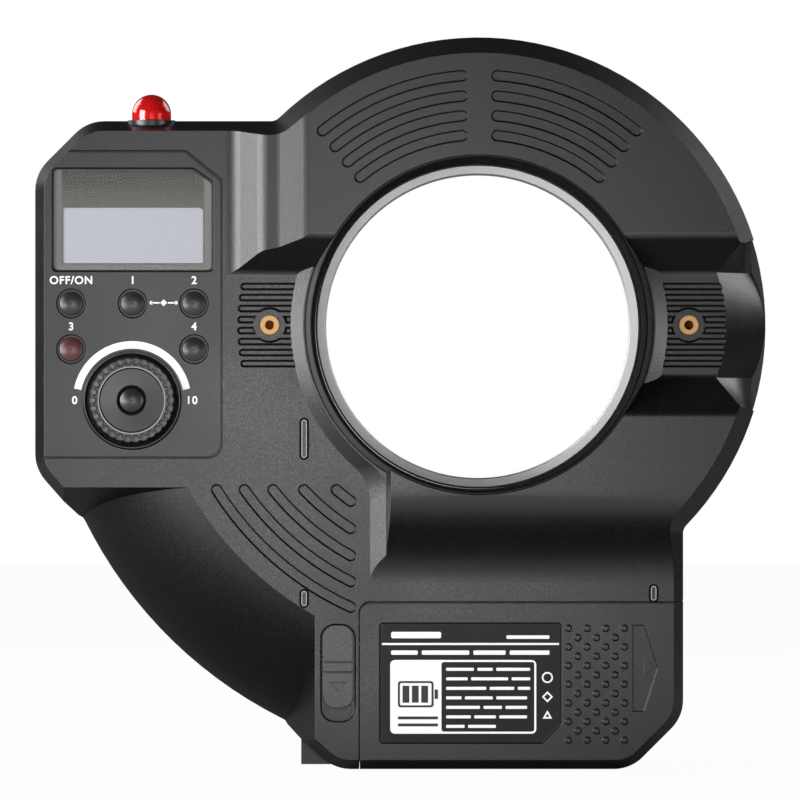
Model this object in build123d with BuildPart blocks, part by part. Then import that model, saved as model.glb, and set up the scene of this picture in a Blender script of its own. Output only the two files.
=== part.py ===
from build123d import *
import os
from math import cos, hypot, pi, radians, sin, sqrt

os.makedirs("parts", exist_ok=True)

# Frame: X to the operator's right, Z up, light leaves towards +Y.
# The origin lies on the bore axis, in the plane of the front rim.
# Depths are counted rearwards from that plane, so a depth of 57 is Y = -57.

# Overall sizes
ring_radius = 99.1
body_reach = 152.5
body_shoulder = 70.3
grip_radius = 152.4
corner_cut = 18.0
corner_round = 14.0
grip_corner = 49.3
grip_margin_angle = 26.2
grip_blend = 10.0
notch_round = 4.0

# Depths of the main levels
front_level = 14.0
band_front = 24.0
parting = 32.0
band_rear = 41.0
low_level = 57.0
high_level = 68.0

# Mouldings
wall = 2.5
front_lean = 1.4
rear_lean = 6.5
lean_ratio = rear_lean / (high_level - band_rear)
low_lean = lean_ratio * (low_level - band_rear)
seam = 0.3
fit_gap = 0.2
over = 3.0
draft = 25
board_thickness = 1.6
boss_radius = 3.4
screw_radius = 1.25
screw_head_radius = 2.6
screw_head_height = 1.8


def at_depth(depth):
    """Plane parallel to the front rim; it extrudes rearwards."""
    return Plane.XZ.offset(depth)


def facing_left(x):
    """Plane at x whose local axes are depth and Z; it extrudes towards -X."""
    return Plane(origin=(x, 0, 0), x_dir=(0, -1, 0), z_dir=(-1, 0, 0))


def facing_down(z):
    """Plane at height z whose local axes are X and depth; it extrudes towards -Z."""
    return Plane(origin=(0, 0, z), x_dir=(1, 0, 0), z_dir=(0, 0, -1))


# Half section through the bore axis: local x is the radius, local y the depth
section = facing_down(0)


def save(builder, name):
    """Names a finished piece and writes it to its own file."""
    builder.part.label = name
    export_step(builder.part, f"parts/{name}.step")


# Silhouette


def outline(inset):
    """Body and ring silhouette, drawn in by inset."""
    margin = radians(grip_margin_angle)
    arc_upper = (-grip_radius * cos(margin), -grip_radius * sin(margin))
    arc_lower = (-grip_radius * sin(margin), -grip_radius * cos(margin))
    arc_middle = (-grip_radius / sqrt(2), -grip_radius / sqrt(2))
    with BuildSketch() as shape:
        with BuildLine():
            Polyline(
                arc_upper,
                (-body_reach, -grip_corner),
                (-body_reach, body_shoulder - corner_cut),
                (-body_reach + corner_cut, body_shoulder),
                (0, body_shoulder),
                (body_shoulder, 0),
                (body_shoulder, -body_reach + corner_cut),
                (body_shoulder - corner_cut, -body_reach),
                (-grip_corner, -body_reach),
                arc_lower,
            )
            ThreePointArc(arc_lower, arc_middle, arc_upper)
        make_face()
        on_arc = [v for v in shape.vertices() if abs(hypot(v.X, v.Y) - grip_radius) < fit_gap / 2]
        corners = [v for v in shape.vertices() if hypot(v.X, v.Y) > ring_radius and v not in on_arc]
        fillet(corners, corner_round)
        on_arc = [v for v in shape.vertices() if abs(hypot(v.X, v.Y) - grip_radius) < fit_gap / 2]
        fillet(on_arc, grip_blend)
        Circle(ring_radius)
        notches = [
            v
            for v in shape.vertices()
            if abs(hypot(v.X, v.Y) - ring_radius) < seam and max(v.X, v.Y) > body_shoulder - seam
        ]
        fillet(notches, notch_round)
        if inset:
            offset(amount=-inset)
    return shape.sketch


with BuildPart() as body_form:
    with BuildSketch(at_depth(front_level)):
        add(outline(front_lean))
    with BuildSketch(at_depth(band_front)):
        add(outline(0))
    loft(ruled=True)
    with BuildSketch(at_depth(band_front)):
        add(outline(0))
    extrude(amount=band_rear - band_front)
    with BuildSketch(at_depth(band_rear)):
        add(outline(0))
    with BuildSketch(at_depth(high_level)):
        add(outline(rear_lean))
    loft(ruled=True)

# Raised ring on the rear: the crescent above the bore steps down to the control block in two ramps
pad_half_height = 18.0
slope_run = 12.1
ramp_foot = -83.8
ramp_shelf_start = -74.2
ramp_shelf_end = -68.5
ramp_top = -58.5
shelf_start_drop = 4.4
shelf_end_drop = 3.4
ramp_round = 9.0
slope_round = 3.5

with BuildPart() as upper_plateau:
    with BuildSketch(facing_down(ring_radius)) as ramps:
        Polygon(
            (ramp_foot - body_shoulder, low_level - over),
            (ramp_foot - body_shoulder, low_level),
            (ramp_foot, low_level),
            (ramp_shelf_start, high_level - shelf_start_drop),
            (ramp_shelf_end, high_level - shelf_end_drop),
            (ramp_top, high_level),
            (ring_radius, high_level),
            (ring_radius, low_level - over),
            align=None,
        )
        bends = ramps.vertices().filter_by_position(Axis.X, ramp_foot - over, ramp_top + over)
        fillet(bends, ramp_round)
    extrude(amount=ring_radius - pad_half_height + slope_run)
    with BuildSketch(facing_left(ring_radius)) as slope:
        Polygon(
            (low_level - over, pad_half_height - slope_run),
            (low_level, pad_half_height - slope_run),
            (low_level, pad_half_height),
            (high_level, pad_half_height + slope_run),
            (high_level, ring_radius),
            (low_level - over, ring_radius),
            align=None,
        )
        bends = slope.vertices().filter_by_position(Axis.Y, pad_half_height - seam, ring_radius - seam)
        fillet(bends, slope_round)
    extrude(amount=ring_radius + body_reach, mode=Mode.INTERSECT)
    add(body_form.part, mode=Mode.INTERSECT)

# The crescent below the bore rolls down to the battery in one S-shaped slope
roll_top = -56.0
roll_foot = -88.0
skirt_width = 5.5
skirt_rise = 1.7
skirt_left = -37.3
wall_lean = 1.7
roll_middle = (roll_top + roll_foot) / 2
middle_level = (low_level + high_level) / 2

with BuildPart() as lower_plateau:
    with BuildSketch(facing_left(ring_radius)) as roll:
        with BuildLine():
            Polyline(
                (low_level - over, roll_foot),
                (low_level - over, slope_run - pad_half_height),
                (low_level, slope_run - pad_half_height),
                (low_level, -pad_half_height),
                (high_level, -pad_half_height - slope_run),
                (high_level, roll_top),
            )
            TangentArc((high_level, roll_top), (middle_level, roll_middle), tangent=(0, -1))
            TangentArc(
                (low_level, roll_foot),
                (middle_level, roll_middle),
                tangent=(0, 1),
            )
            Line((low_level, roll_foot), (low_level - over, roll_foot))
        make_face()
        slope_foot = seam - pad_half_height
        bends = roll.vertices().filter_by_position(Axis.Y, slope_foot - slope_run - seam * 2, slope_foot)
        fillet(bends, slope_round)
    extrude(amount=ring_radius - skirt_left)
    with BuildSketch(facing_down(0)):
        Polygon(
            (skirt_left, low_level - over),
            (skirt_left, low_level),
            (skirt_left + skirt_width, low_level + skirt_rise),
            (skirt_left + skirt_width + wall_lean, high_level),
            (ring_radius, high_level),
            (ring_radius, low_level - over),
            align=None,
        )
    extrude(amount=body_reach, mode=Mode.INTERSECT)
    add(body_form.part, mode=Mode.INTERSECT)

# Bore: the barrel's lip stands up to the high level all round
barrel_radius = 59.6
barrel_wall = 2.9
lip_step = 2.0
skirt_reach = 5.0
skirt_crest_reach = 0.6
bore_gap = 0.3
barrel_bore = barrel_radius - barrel_wall
lip_radius = barrel_radius - lip_step
skirt_radius = barrel_radius + skirt_reach
skirt_crest_radius = barrel_radius + skirt_crest_reach
lip_foot_depth = low_level + skirt_rise

# Grip: a convex surface of revolution round the bore axis
crease_radius = 114.1
grip_edge_depth = 20.0
grip_bulge = 7.0
latch_block_left = -56.1
block_bottom = -55.5
wall_slope = 0.3


def grip_cutter(shift):
    """What the grip's hollow takes from the body, its walls set outwards by shift."""
    start = (crease_radius - shift, low_level - shift)
    end = (grip_radius - shift, grip_edge_depth - shift)
    chord = hypot(end[0] - start[0], end[1] - start[1])
    across = ((start[1] - end[1]) / chord, (end[0] - start[0]) / chord)
    middle = (
        (start[0] + end[0]) / 2 + across[0] * grip_bulge,
        (start[1] + end[1]) / 2 + across[1] * grip_bulge,
    )
    far = grip_radius + corner_cut
    rear_edge = low_level + over
    with BuildPart() as cutter:
        with BuildSketch(section):
            with BuildLine():
                ThreePointArc(start, middle, end)
                Polyline(end, (far, end[1]), (far, rear_edge), (start[0], rear_edge), start)
            make_face()
        revolve(axis=Axis.Y)
        for depth in (rear_edge, end[1] - over):
            back = (low_level - depth) * wall_slope
            right = latch_block_left - back + shift
            top = block_bottom - back + shift
            with BuildSketch(at_depth(depth)):
                Polygon(
                    (right, top),
                    (right - far, top),
                    (right - far, top - far),
                    (right, top - far),
                    align=None,
                )
        loft(ruled=True, mode=Mode.INTERSECT)
    return cutter.part


# Scoop in the ring's flank outside the right pad
scoop_corner = (81.0, 18.0)
scoop_top = (89.0, 28.0)
scoop_middle = 84.0
scoop_foot_inset = 1.0

with BuildPart() as scoop:
    foot_half_height = pad_half_height + slope_run
    foot_x = sqrt(ring_radius**2 - foot_half_height**2) - scoop_foot_inset
    with BuildSketch(at_depth(low_level)):
        with BuildLine():
            ThreePointArc(
                (scoop_corner[0], -scoop_corner[1]), (scoop_middle, 0), (scoop_corner[0], scoop_corner[1])
            )
            Polyline(
                (scoop_corner[0], scoop_corner[1]),
                (scoop_top[0], scoop_top[1]),
                (ring_radius + corner_cut, scoop_top[1]),
                (ring_radius + corner_cut, -scoop_top[1]),
                (scoop_top[0], -scoop_top[1]),
                (scoop_corner[0], -scoop_corner[1]),
            )
        make_face()
    with BuildSketch(at_depth(parting)):
        with BuildLine():
            ThreePointArc(
                (foot_x + scoop_foot_inset, -scoop_corner[1]),
                (ring_radius - fit_gap, 0),
                (foot_x + scoop_foot_inset, scoop_corner[1]),
            )
            Polyline(
                (foot_x + scoop_foot_inset, scoop_corner[1]),
                (foot_x, foot_half_height),
                (ring_radius + corner_cut, foot_half_height),
                (ring_radius + corner_cut, -foot_half_height),
                (foot_x, -foot_half_height),
                (foot_x + scoop_foot_inset, -scoop_corner[1]),
            )
        make_face()
    loft(ruled=True)
    with BuildSketch(at_depth(low_level)):
        Polygon(
            (scoop_middle, 0),
            (scoop_corner[0], scoop_corner[1]),
            (scoop_top[0], scoop_top[1]),
            (ring_radius + corner_cut, scoop_top[1]),
            (ring_radius + corner_cut, -scoop_top[1]),
            (scoop_top[0], -scoop_top[1]),
            (scoop_corner[0], -scoop_corner[1]),
            align=None,
        )
    extrude(amount=high_level - low_level + over)

# The skirt turns from the ring into the lower crescent's wall in a round corner
skirt_round = 16.0
crest_round = 12.0


def corner_patch(radius, left, round_radius):
    """What the rounding adds between the circle round the bore and the wall at left."""
    with BuildSketch() as patch:
        for mode in (Mode.ADD, Mode.SUBTRACT):
            Circle(radius, mode=mode)
            Polygon((left, 0), (0, 0), (0, -ring_radius), (left, -ring_radius), align=None, mode=mode)
            if mode == Mode.ADD:
                on_circle = [v for v in patch.vertices() if abs(hypot(v.X, v.Y) - radius) < seam]
                fillet([v for v in on_circle if v.X < left / 2 and v.Y < 0], round_radius)
    return patch.sketch


with BuildPart() as skirt_corner:
    with BuildSketch(at_depth(low_level)):
        add(corner_patch(skirt_radius, skirt_left, skirt_round))
    with BuildSketch(at_depth(lip_foot_depth)):
        add(corner_patch(skirt_crest_radius, skirt_left + skirt_width, crest_round))
    loft(ruled=True)

# Rear form: low level everywhere but the two crescents, with the skirt round the bore
with BuildPart() as outer_form:
    add(body_form.part)
    with BuildSketch(at_depth(low_level)):
        Rectangle(body_reach * 2 + over, body_reach * 2 + over)
    extrude(amount=high_level - low_level + over, mode=Mode.SUBTRACT)
    add(upper_plateau.part)
    add(lower_plateau.part)
    with BuildSketch(section):
        Polygon(
            (lip_radius, low_level - over),
            (skirt_radius, low_level - over),
            (skirt_radius, low_level),
            (skirt_crest_radius, lip_foot_depth),
            (lip_radius, lip_foot_depth),
            align=None,
        )
    revolve(axis=Axis.Y)
    add(skirt_corner.part)
    add(grip_cutter(0), mode=Mode.SUBTRACT)
    add(scoop.part, mode=Mode.SUBTRACT)

# Battery bay: the pack fills the lower right corner and slides off to the right
battery_left = -41.0
battery_top = -94.6
bay_corner = 4.0
sill_reach = 1.5
sill_thickness = 2.0
shadow_width = 0.35
shadow_depth = 0.4


def battery_region(shift):
    """The corner that the pack takes up, drawn in by shift."""
    left = battery_left + shift
    top = battery_top - shift
    far = body_reach + corner_cut
    with BuildSketch() as region:
        Polygon((left, top), (far, top), (far, -far), (left, -far), align=None)
        fillet(region.vertices().sort_by(Axis.X)[:2].sort_by(Axis.Y)[-1:], bay_corner)
    return region.sketch


# Rails: dovetails under the bay's ceiling that carry the pack
rail_root = 4.6
rail_tip = 7.0
rail_drop = 4.2
rail_front_depth = 23.0
rail_rear_depth = 46.0
rail_end = 55.0
rail_gap = 0.1


def rail_profile(depth, gap):
    """Dovetail section at one depth, grown by gap."""
    root = battery_top + seam / 2
    with BuildSketch(facing_left(rail_end + gap)) as profile:
        Polygon(
            (depth - rail_root / 2 - gap, root + gap),
            (depth + rail_root / 2 + gap, root + gap),
            (depth + rail_tip / 2 + gap, root - rail_drop - gap),
            (depth - rail_tip / 2 - gap, root - rail_drop - gap),
            align=None,
        )
    return profile.sketch


# Openings and inner spaces that both housings share
cavity_bore = barrel_radius + bore_gap + wall
trough_outer = 91.6
trough_inner = 68.2
trough_floor = 28.0
ring_face = 5.6
ledge_depth = 8.6

with BuildPart() as bore_opening:
    with BuildSketch(section):
        Polygon(
            (0, -over),
            (barrel_radius + bore_gap, -over),
            (barrel_radius + bore_gap, low_level),
            (lip_radius + bore_gap, high_level),
            (lip_radius + bore_gap, high_level + over),
            (0, high_level + over),
            align=None,
        )
    revolve(axis=Axis.Y)

# Screw places: four in the body, four in the ring behind the reflector
body_screws = ((-130.0, 59.6), (-88.0, 60.0), (-143.0, -46.5), (-51.0, -84.0))
ring_screw_circle = 80.0
ring_screw_angles = (20, 70, 110, 325)
ring_screws = tuple(
    (ring_screw_circle * cos(radians(a)), ring_screw_circle * sin(radians(a))) for a in ring_screw_angles
)
body_head_seat = front_level + screw_head_height

# Contacts between body and pack
socket_places = (-110.0, -124.0, -138.0)
socket_level = 25.0
socket_depth = 6.5
blade_width = 6.0
blade_thickness = 0.8
blade_head = 2.4
blade_reach = 5.6

# Front housing: tray of the body with the ring's trough
foot_left = -61.2
foot_right = -48.0
foot_base = -151.4
foot_top = -138.0
foot_rear = 30.0
cap_radius = 15.0
cap_rim = 1.0
cap_length = 34.0
cap_inset = 33.9
cap_circle = grip_radius - wall - cap_inset
cap_spread = 18.5
cap_depth = 33.5
saddle_radius = 6.0
standoff_radius = 2.6
power_board_depth = 22.0
power_board_left = -144.0
power_board_right = -101.0
power_board_bottom = -42.0
power_board_top = 55.0
standoff_inset = 4.0
lead_radius = 2.4
tube_circle = 79.9
tube_gap_angle = 8.0
cap_places = tuple(
    (
        (-cap_circle + side * cap_spread) / sqrt(2),
        (-cap_circle - side * cap_spread) / sqrt(2),
    )
    for side in (-1, 1)
)
power_standoffs = tuple(
    (x, z)
    for x in (power_board_left + standoff_inset, power_board_right - standoff_inset)
    for z in (power_board_bottom + standoff_inset, power_board_top - standoff_inset)
)
lead_places = tuple(
    (
        tube_circle * sin(radians(side * tube_gap_angle)),
        -tube_circle * cos(radians(tube_gap_angle)),
    )
    for side in (-1, 1)
)

with BuildPart() as front_space:
    with BuildSketch(at_depth(front_level + wall)):
        add(outline(front_lean + wall))
        Circle(trough_outer + wall, mode=Mode.SUBTRACT)
        add(battery_region(-seam - wall), mode=Mode.SUBTRACT)
    extrude(amount=parting - front_level - wall)
    add(grip_cutter(wall), mode=Mode.SUBTRACT)
    with BuildSketch(at_depth(trough_floor + wall)):
        Circle(trough_outer + wall)
        Circle(cavity_bore, mode=Mode.SUBTRACT)
        add(battery_region(-seam - wall), mode=Mode.SUBTRACT)
    extrude(amount=parting - trough_floor - wall)
    with BuildSketch(at_depth(front_level + wall)):
        with Locations(*body_screws, *ring_screws):
            Circle(boss_radius)
    extrude(amount=parting - front_level - wall, mode=Mode.SUBTRACT)

with BuildPart() as front_housing:
    add(outer_form.part)
    with BuildSketch(at_depth(parting)):
        Rectangle(body_reach * 2 + over, body_reach * 2 + over)
    extrude(amount=high_level, mode=Mode.SUBTRACT)
    with BuildSketch(section):
        Polygon(
            (barrel_radius, ring_face),
            (ring_radius - bore_gap, ring_face),
            (ring_radius, band_front),
            (barrel_radius, band_front),
            align=None,
        )
    revolve(axis=Axis.Y)
    with BuildSketch(at_depth(front_level)):
        Polygon(
            (foot_left, foot_base),
            (foot_right, foot_base),
            (foot_right, foot_top),
            (foot_left, foot_top),
            align=None,
        )
    extrude(amount=foot_rear - front_level)
    add(front_space.part, mode=Mode.SUBTRACT)
    # trough for the reflector, and the ledge of the modelling lights
    with BuildSketch(at_depth(ring_face)):
        Circle(trough_outer)
        Circle(trough_inner, mode=Mode.SUBTRACT)
    extrude(amount=trough_floor - ring_face, mode=Mode.SUBTRACT)
    with BuildSketch(at_depth(ring_face)):
        Circle(trough_inner)
        Circle(cavity_bore, mode=Mode.SUBTRACT)
    extrude(amount=ledge_depth - ring_face, mode=Mode.SUBTRACT)
    add(bore_opening.part, mode=Mode.SUBTRACT)
    with BuildSketch(at_depth(front_level - seam)):
        add(battery_region(-seam / 2))
    extrude(amount=parting, mode=Mode.SUBTRACT)
    add(extrude(rail_profile(rail_front_depth, 0), amount=rail_end - battery_left, mode=Mode.PRIVATE))
    # sill in front of the pack's left end, so that the seam doesn't run straight through
    with BuildSketch(at_depth(front_level)):
        Polygon(
            (battery_left - seam, battery_top),
            (battery_left + sill_reach, battery_top),
            (battery_left + sill_reach, -body_reach),
            (battery_left - seam, -body_reach),
            align=None,
        )
        add(outline(front_lean), mode=Mode.INTERSECT)
    extrude(amount=sill_thickness)
    # standoffs and capacitor saddles
    with BuildSketch(at_depth(front_level + wall)):
        with Locations(*power_standoffs):
            Circle(standoff_radius)
    extrude(amount=power_board_depth - front_level - wall)
    with BuildSketch(at_depth(front_level + wall)):
        with Locations(*cap_places):
            Circle(saddle_radius)
    extrude(amount=cap_depth - cap_radius - front_level - wall - fit_gap / 2)
    # slots of the contact blades in the bay's end wall
    with BuildSketch(facing_left(battery_left)):
        for z in socket_places:
            with Locations((socket_level, z)):
                Rectangle(blade_width + fit_gap, blade_thickness + fit_gap)
    extrude(amount=wall * 2, mode=Mode.SUBTRACT)
    # screw holes with sunk heads
    with BuildSketch(at_depth(front_level)):
        with Locations(*body_screws):
            Circle(screw_radius + fit_gap)
    extrude(amount=parting - front_level, mode=Mode.SUBTRACT)
    with BuildSketch(at_depth(front_level - over)):
        with Locations(*body_screws):
            Circle(screw_head_radius + fit_gap)
    extrude(amount=over + screw_head_height, mode=Mode.SUBTRACT)
    with BuildSketch(at_depth(trough_floor)):
        with Locations(*ring_screws):
            Circle(screw_radius + fit_gap)
        with Locations(*lead_places):
            Circle(lead_radius + fit_gap)
    extrude(amount=parting - trough_floor, mode=Mode.SUBTRACT)
save(front_housing, "front_housing")

# Control panel plate, let into the block's rear face and open to its left edge
panel_right = -87.8
panel_bottom = -45.4
panel_top = 59.6
panel_chamfer_x = 12.4
panel_chamfer_z = 10.0
panel_corner = 5.0
panel_depth = low_level - wall
ledge_width = 1.6
ledge_thickness = 2.0


def panel_outline(inset):
    """The plate's outline, drawn in by inset on its three closed sides."""
    left = -body_reach - over
    right = panel_right - inset
    top = panel_top - inset
    bottom = panel_bottom + inset
    with BuildSketch() as plate:
        Polygon(
            (left, bottom),
            (right, bottom),
            (right, top - panel_chamfer_z),
            (right - panel_chamfer_x, top),
            (left, top),
            align=None,
        )
        fillet(plate.vertices().sort_by(Axis.X)[-2:].sort_by(Axis.Y)[:1], panel_corner)
    return plate.sketch


window_left = -145.6
window_right = -91.2
window_bottom = 18.6
window_top = 53.4
window_corner = 1.7
window_chamfer_x = 6.8
window_chamfer_z = 4.7
window_thickness = 1.5
window_bevel = 0.5
bevel_angle = 45
view_left = -142.9
view_right = -93.8
view_bottom = 20.6
view_top = 40.6
screen_thickness = 4.4


def window_outline(inset):
    """The display window's outline: all corners rounded, the top right one cut off."""
    with BuildSketch() as pane:
        Polygon(
            (window_left + inset, window_bottom + inset),
            (window_right - inset, window_bottom + inset),
            (window_right - inset, window_top - window_chamfer_z - inset),
            (window_right - window_chamfer_x - inset, window_top - inset),
            (window_left + inset, window_top - inset),
            align=None,
        )
        fillet(pane.vertices(), window_corner)
    return pane.sketch


# Buttons: three columns; the second row has none in the middle
column_left = -139.4
column_middle = -118.4
column_right = -97.4
row_upper = 7.4
row_lower = -8.25
cap_size = 3.9
cap_flange_reach = 0.9
cap_stand = 1.0
cap_dish_reach = 1.2
cap_dish_depth = 0.7
cap_flange = cap_size + cap_flange_reach
cap_dish = cap_size + cap_dish_reach
flange_thickness = 1.2
press_travel = 0.8
panel_board_depth = 47.5
panel_board_rear = panel_board_depth + board_thickness
button_places = {
    "power_button": (column_left, row_upper),
    "mode_button": (column_middle, row_upper),
    "light_button": (column_right, row_upper),
    "test_button": (column_left, row_lower),
    "sound_button": (column_right, row_lower),
}
panel_post_radius = 1.5
panel_posts = (
    (-128.9, 15.4),
    (-107.9, 15.4),
    (-138.0, -38.5),
    (-98.0, -38.5),
    (-120.0, 55.9),
    (-103.0, 55.9),
)

# Dial
dial_x = -118.6
dial_z = -25.7
dial_radius = 15.4
dial_height = 4.2
dial_ring_width = 1.3
dial_ring_lip = 0.6
dial_ring_stand = 1.1
dial_hub = 7.0
dial_skirt = 1.4
hub_depth = 50.7
centre_radius = 4.0
centre_travel = 0.6
dial_ring_inner = dial_radius + bore_gap
dial_ring_outer = dial_ring_inner + dial_ring_width
dial_ring_seat = dial_ring_outer - dial_ring_lip
centre_bore = centre_radius + fit_gap

with BuildPart() as rear_space:
    for front, rear, front_inset, rear_inset in (
        (parting, band_rear, wall, wall),
        (band_rear, panel_depth, wall, wall + lean_ratio * (panel_depth - band_rear)),
    ):
        with BuildSketch(at_depth(front)):
            add(outline(front_inset))
        with BuildSketch(at_depth(rear)):
            add(outline(rear_inset))
        loft(ruled=True)
    add(grip_cutter(wall), mode=Mode.SUBTRACT)
    # the two crescents are hollow too
    for bottom, top, left in (
        (pad_half_height * 2, ring_radius, ramp_top + wall),
        (roll_top, -pad_half_height * 2, skirt_left + skirt_width + wall_lean + wall),
    ):
        with BuildSketch(at_depth(parting)):
            Circle(ring_radius - rear_lean - wall)
            Polygon(
                (left, bottom),
                (ring_radius, bottom),
                (ring_radius, top),
                (left, top),
                align=None,
                mode=Mode.INTERSECT,
            )
        extrude(amount=high_level - wall - parting)
    with BuildSketch(at_depth(parting - over)):
        Circle(cavity_bore)
        add(battery_region(-seam - wall))
    extrude(amount=high_level, mode=Mode.SUBTRACT)
    with BuildSketch(at_depth(parting - over)):
        with Locations(*body_screws, *ring_screws):
            Circle(boss_radius)
    extrude(amount=high_level, mode=Mode.SUBTRACT)
    # the flank behind the scoop stays solid
    with BuildSketch(at_depth(parting - over)):
        Polygon(
            (scoop_corner[0] - wall, -scoop_top[1] - wall),
            (ring_radius, -scoop_top[1] - wall),
            (ring_radius, scoop_top[1] + wall),
            (scoop_corner[0] - wall, scoop_top[1] + wall),
            align=None,
        )
    extrude(amount=high_level, mode=Mode.SUBTRACT)

# Brass inserts in the pads
insert_offset = 71.6
insert_radius = 3.4
insert_thread = 1.65
insert_length = 10.0
insert_stand = 0.5
insert_wall = 2.0
insert_teeth = 24
insert_tooth = 0.3
seat_gap = 0.05
insert_boss = insert_radius + insert_wall
insert_root = insert_radius - insert_tooth

# Ribs of the pads, sunk between two circles round the bore
rib_pitch = 3.76
rib_width = 2.6
rib_depth = 1.0
rib_count = 8
rib_draft = 35
rib_inner_radius = 61.95
rib_outer_radius = 82.7

# Vent-like slots: arcs round the bore axis
slot_width = 3.9
slot_depth = 1.0
upper_slot_radii = (84.9, 78.0, 71.3, 64.6)
upper_slot_half_gap = 5.9
upper_slot_angle = 39.0
lower_slot_radii = (105.9, 98.0, 90.2, 82.2, 74.5)
lower_slot_top = -56.3
lower_slot_right = -43.9
tick_width = 1.9
tick_height = 0.4
ticks = ((-59.8, -32.3, -45.4), (-59.8, -90.8, -96.0), (59.6, -89.1, -94.1))

# Latch
latch_x = -48.2
latch_slot_width = 12.2
latch_slot_top = -102.1
latch_slot_bottom = -135.8
latch_recess = 3.0
latch_corner = 5.0
latch_draft = 8
latch_bed = wall
slider_width = 10.1
slider_top = -102.6
slider_bottom = -130.7
latch_travel = 4.2
slider_stand = 0.4
stem_width = 3.2
stem_top = -112.0
stem_bottom = -120.0
stem_foot_width = 7.0
stem_foot_thickness = 4.0
tongue_width = 4.0
tongue_thickness = 2.0
tongue_reach = -41.6
spring_radius = 1.9
spring_wire = 0.3
spring_turns = 6
spring_seat = -134.2
spring_seat_thickness = 1.6
bed_rear = low_level - latch_recess
bed_front = bed_rear - latch_bed
foot_front = bed_front - stem_foot_thickness - fit_gap / 2
spring_depth = (foot_front + bed_front) / 2
tongue_depth = foot_front + tongue_thickness / 2

# Dome, jacks and the places where they sit
dome_x = -112.5
dome_depth = 40.5
dome_radius = 6.7
dome_neck = 6.2
dome_top = 79.4
dome_flange_radius = 7.6
dome_flange_thickness = 1.4
dome_seat_radius = 8.2
dome_seat_top = 70.5
dome_seat_rise = 2.0
dome_seat_base = dome_seat_top - dome_seat_rise - wall
jack_depth = 36.5
jack_radius = 3.5
jack_bore = 1.8
jack_length = 12.0
jack_hole_length = 9.0
jack_z = -22.0
port_z = -2.0
port_width = 8.6
port_height = 4.6
port_wall = 0.5
port_length = 9.0

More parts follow.
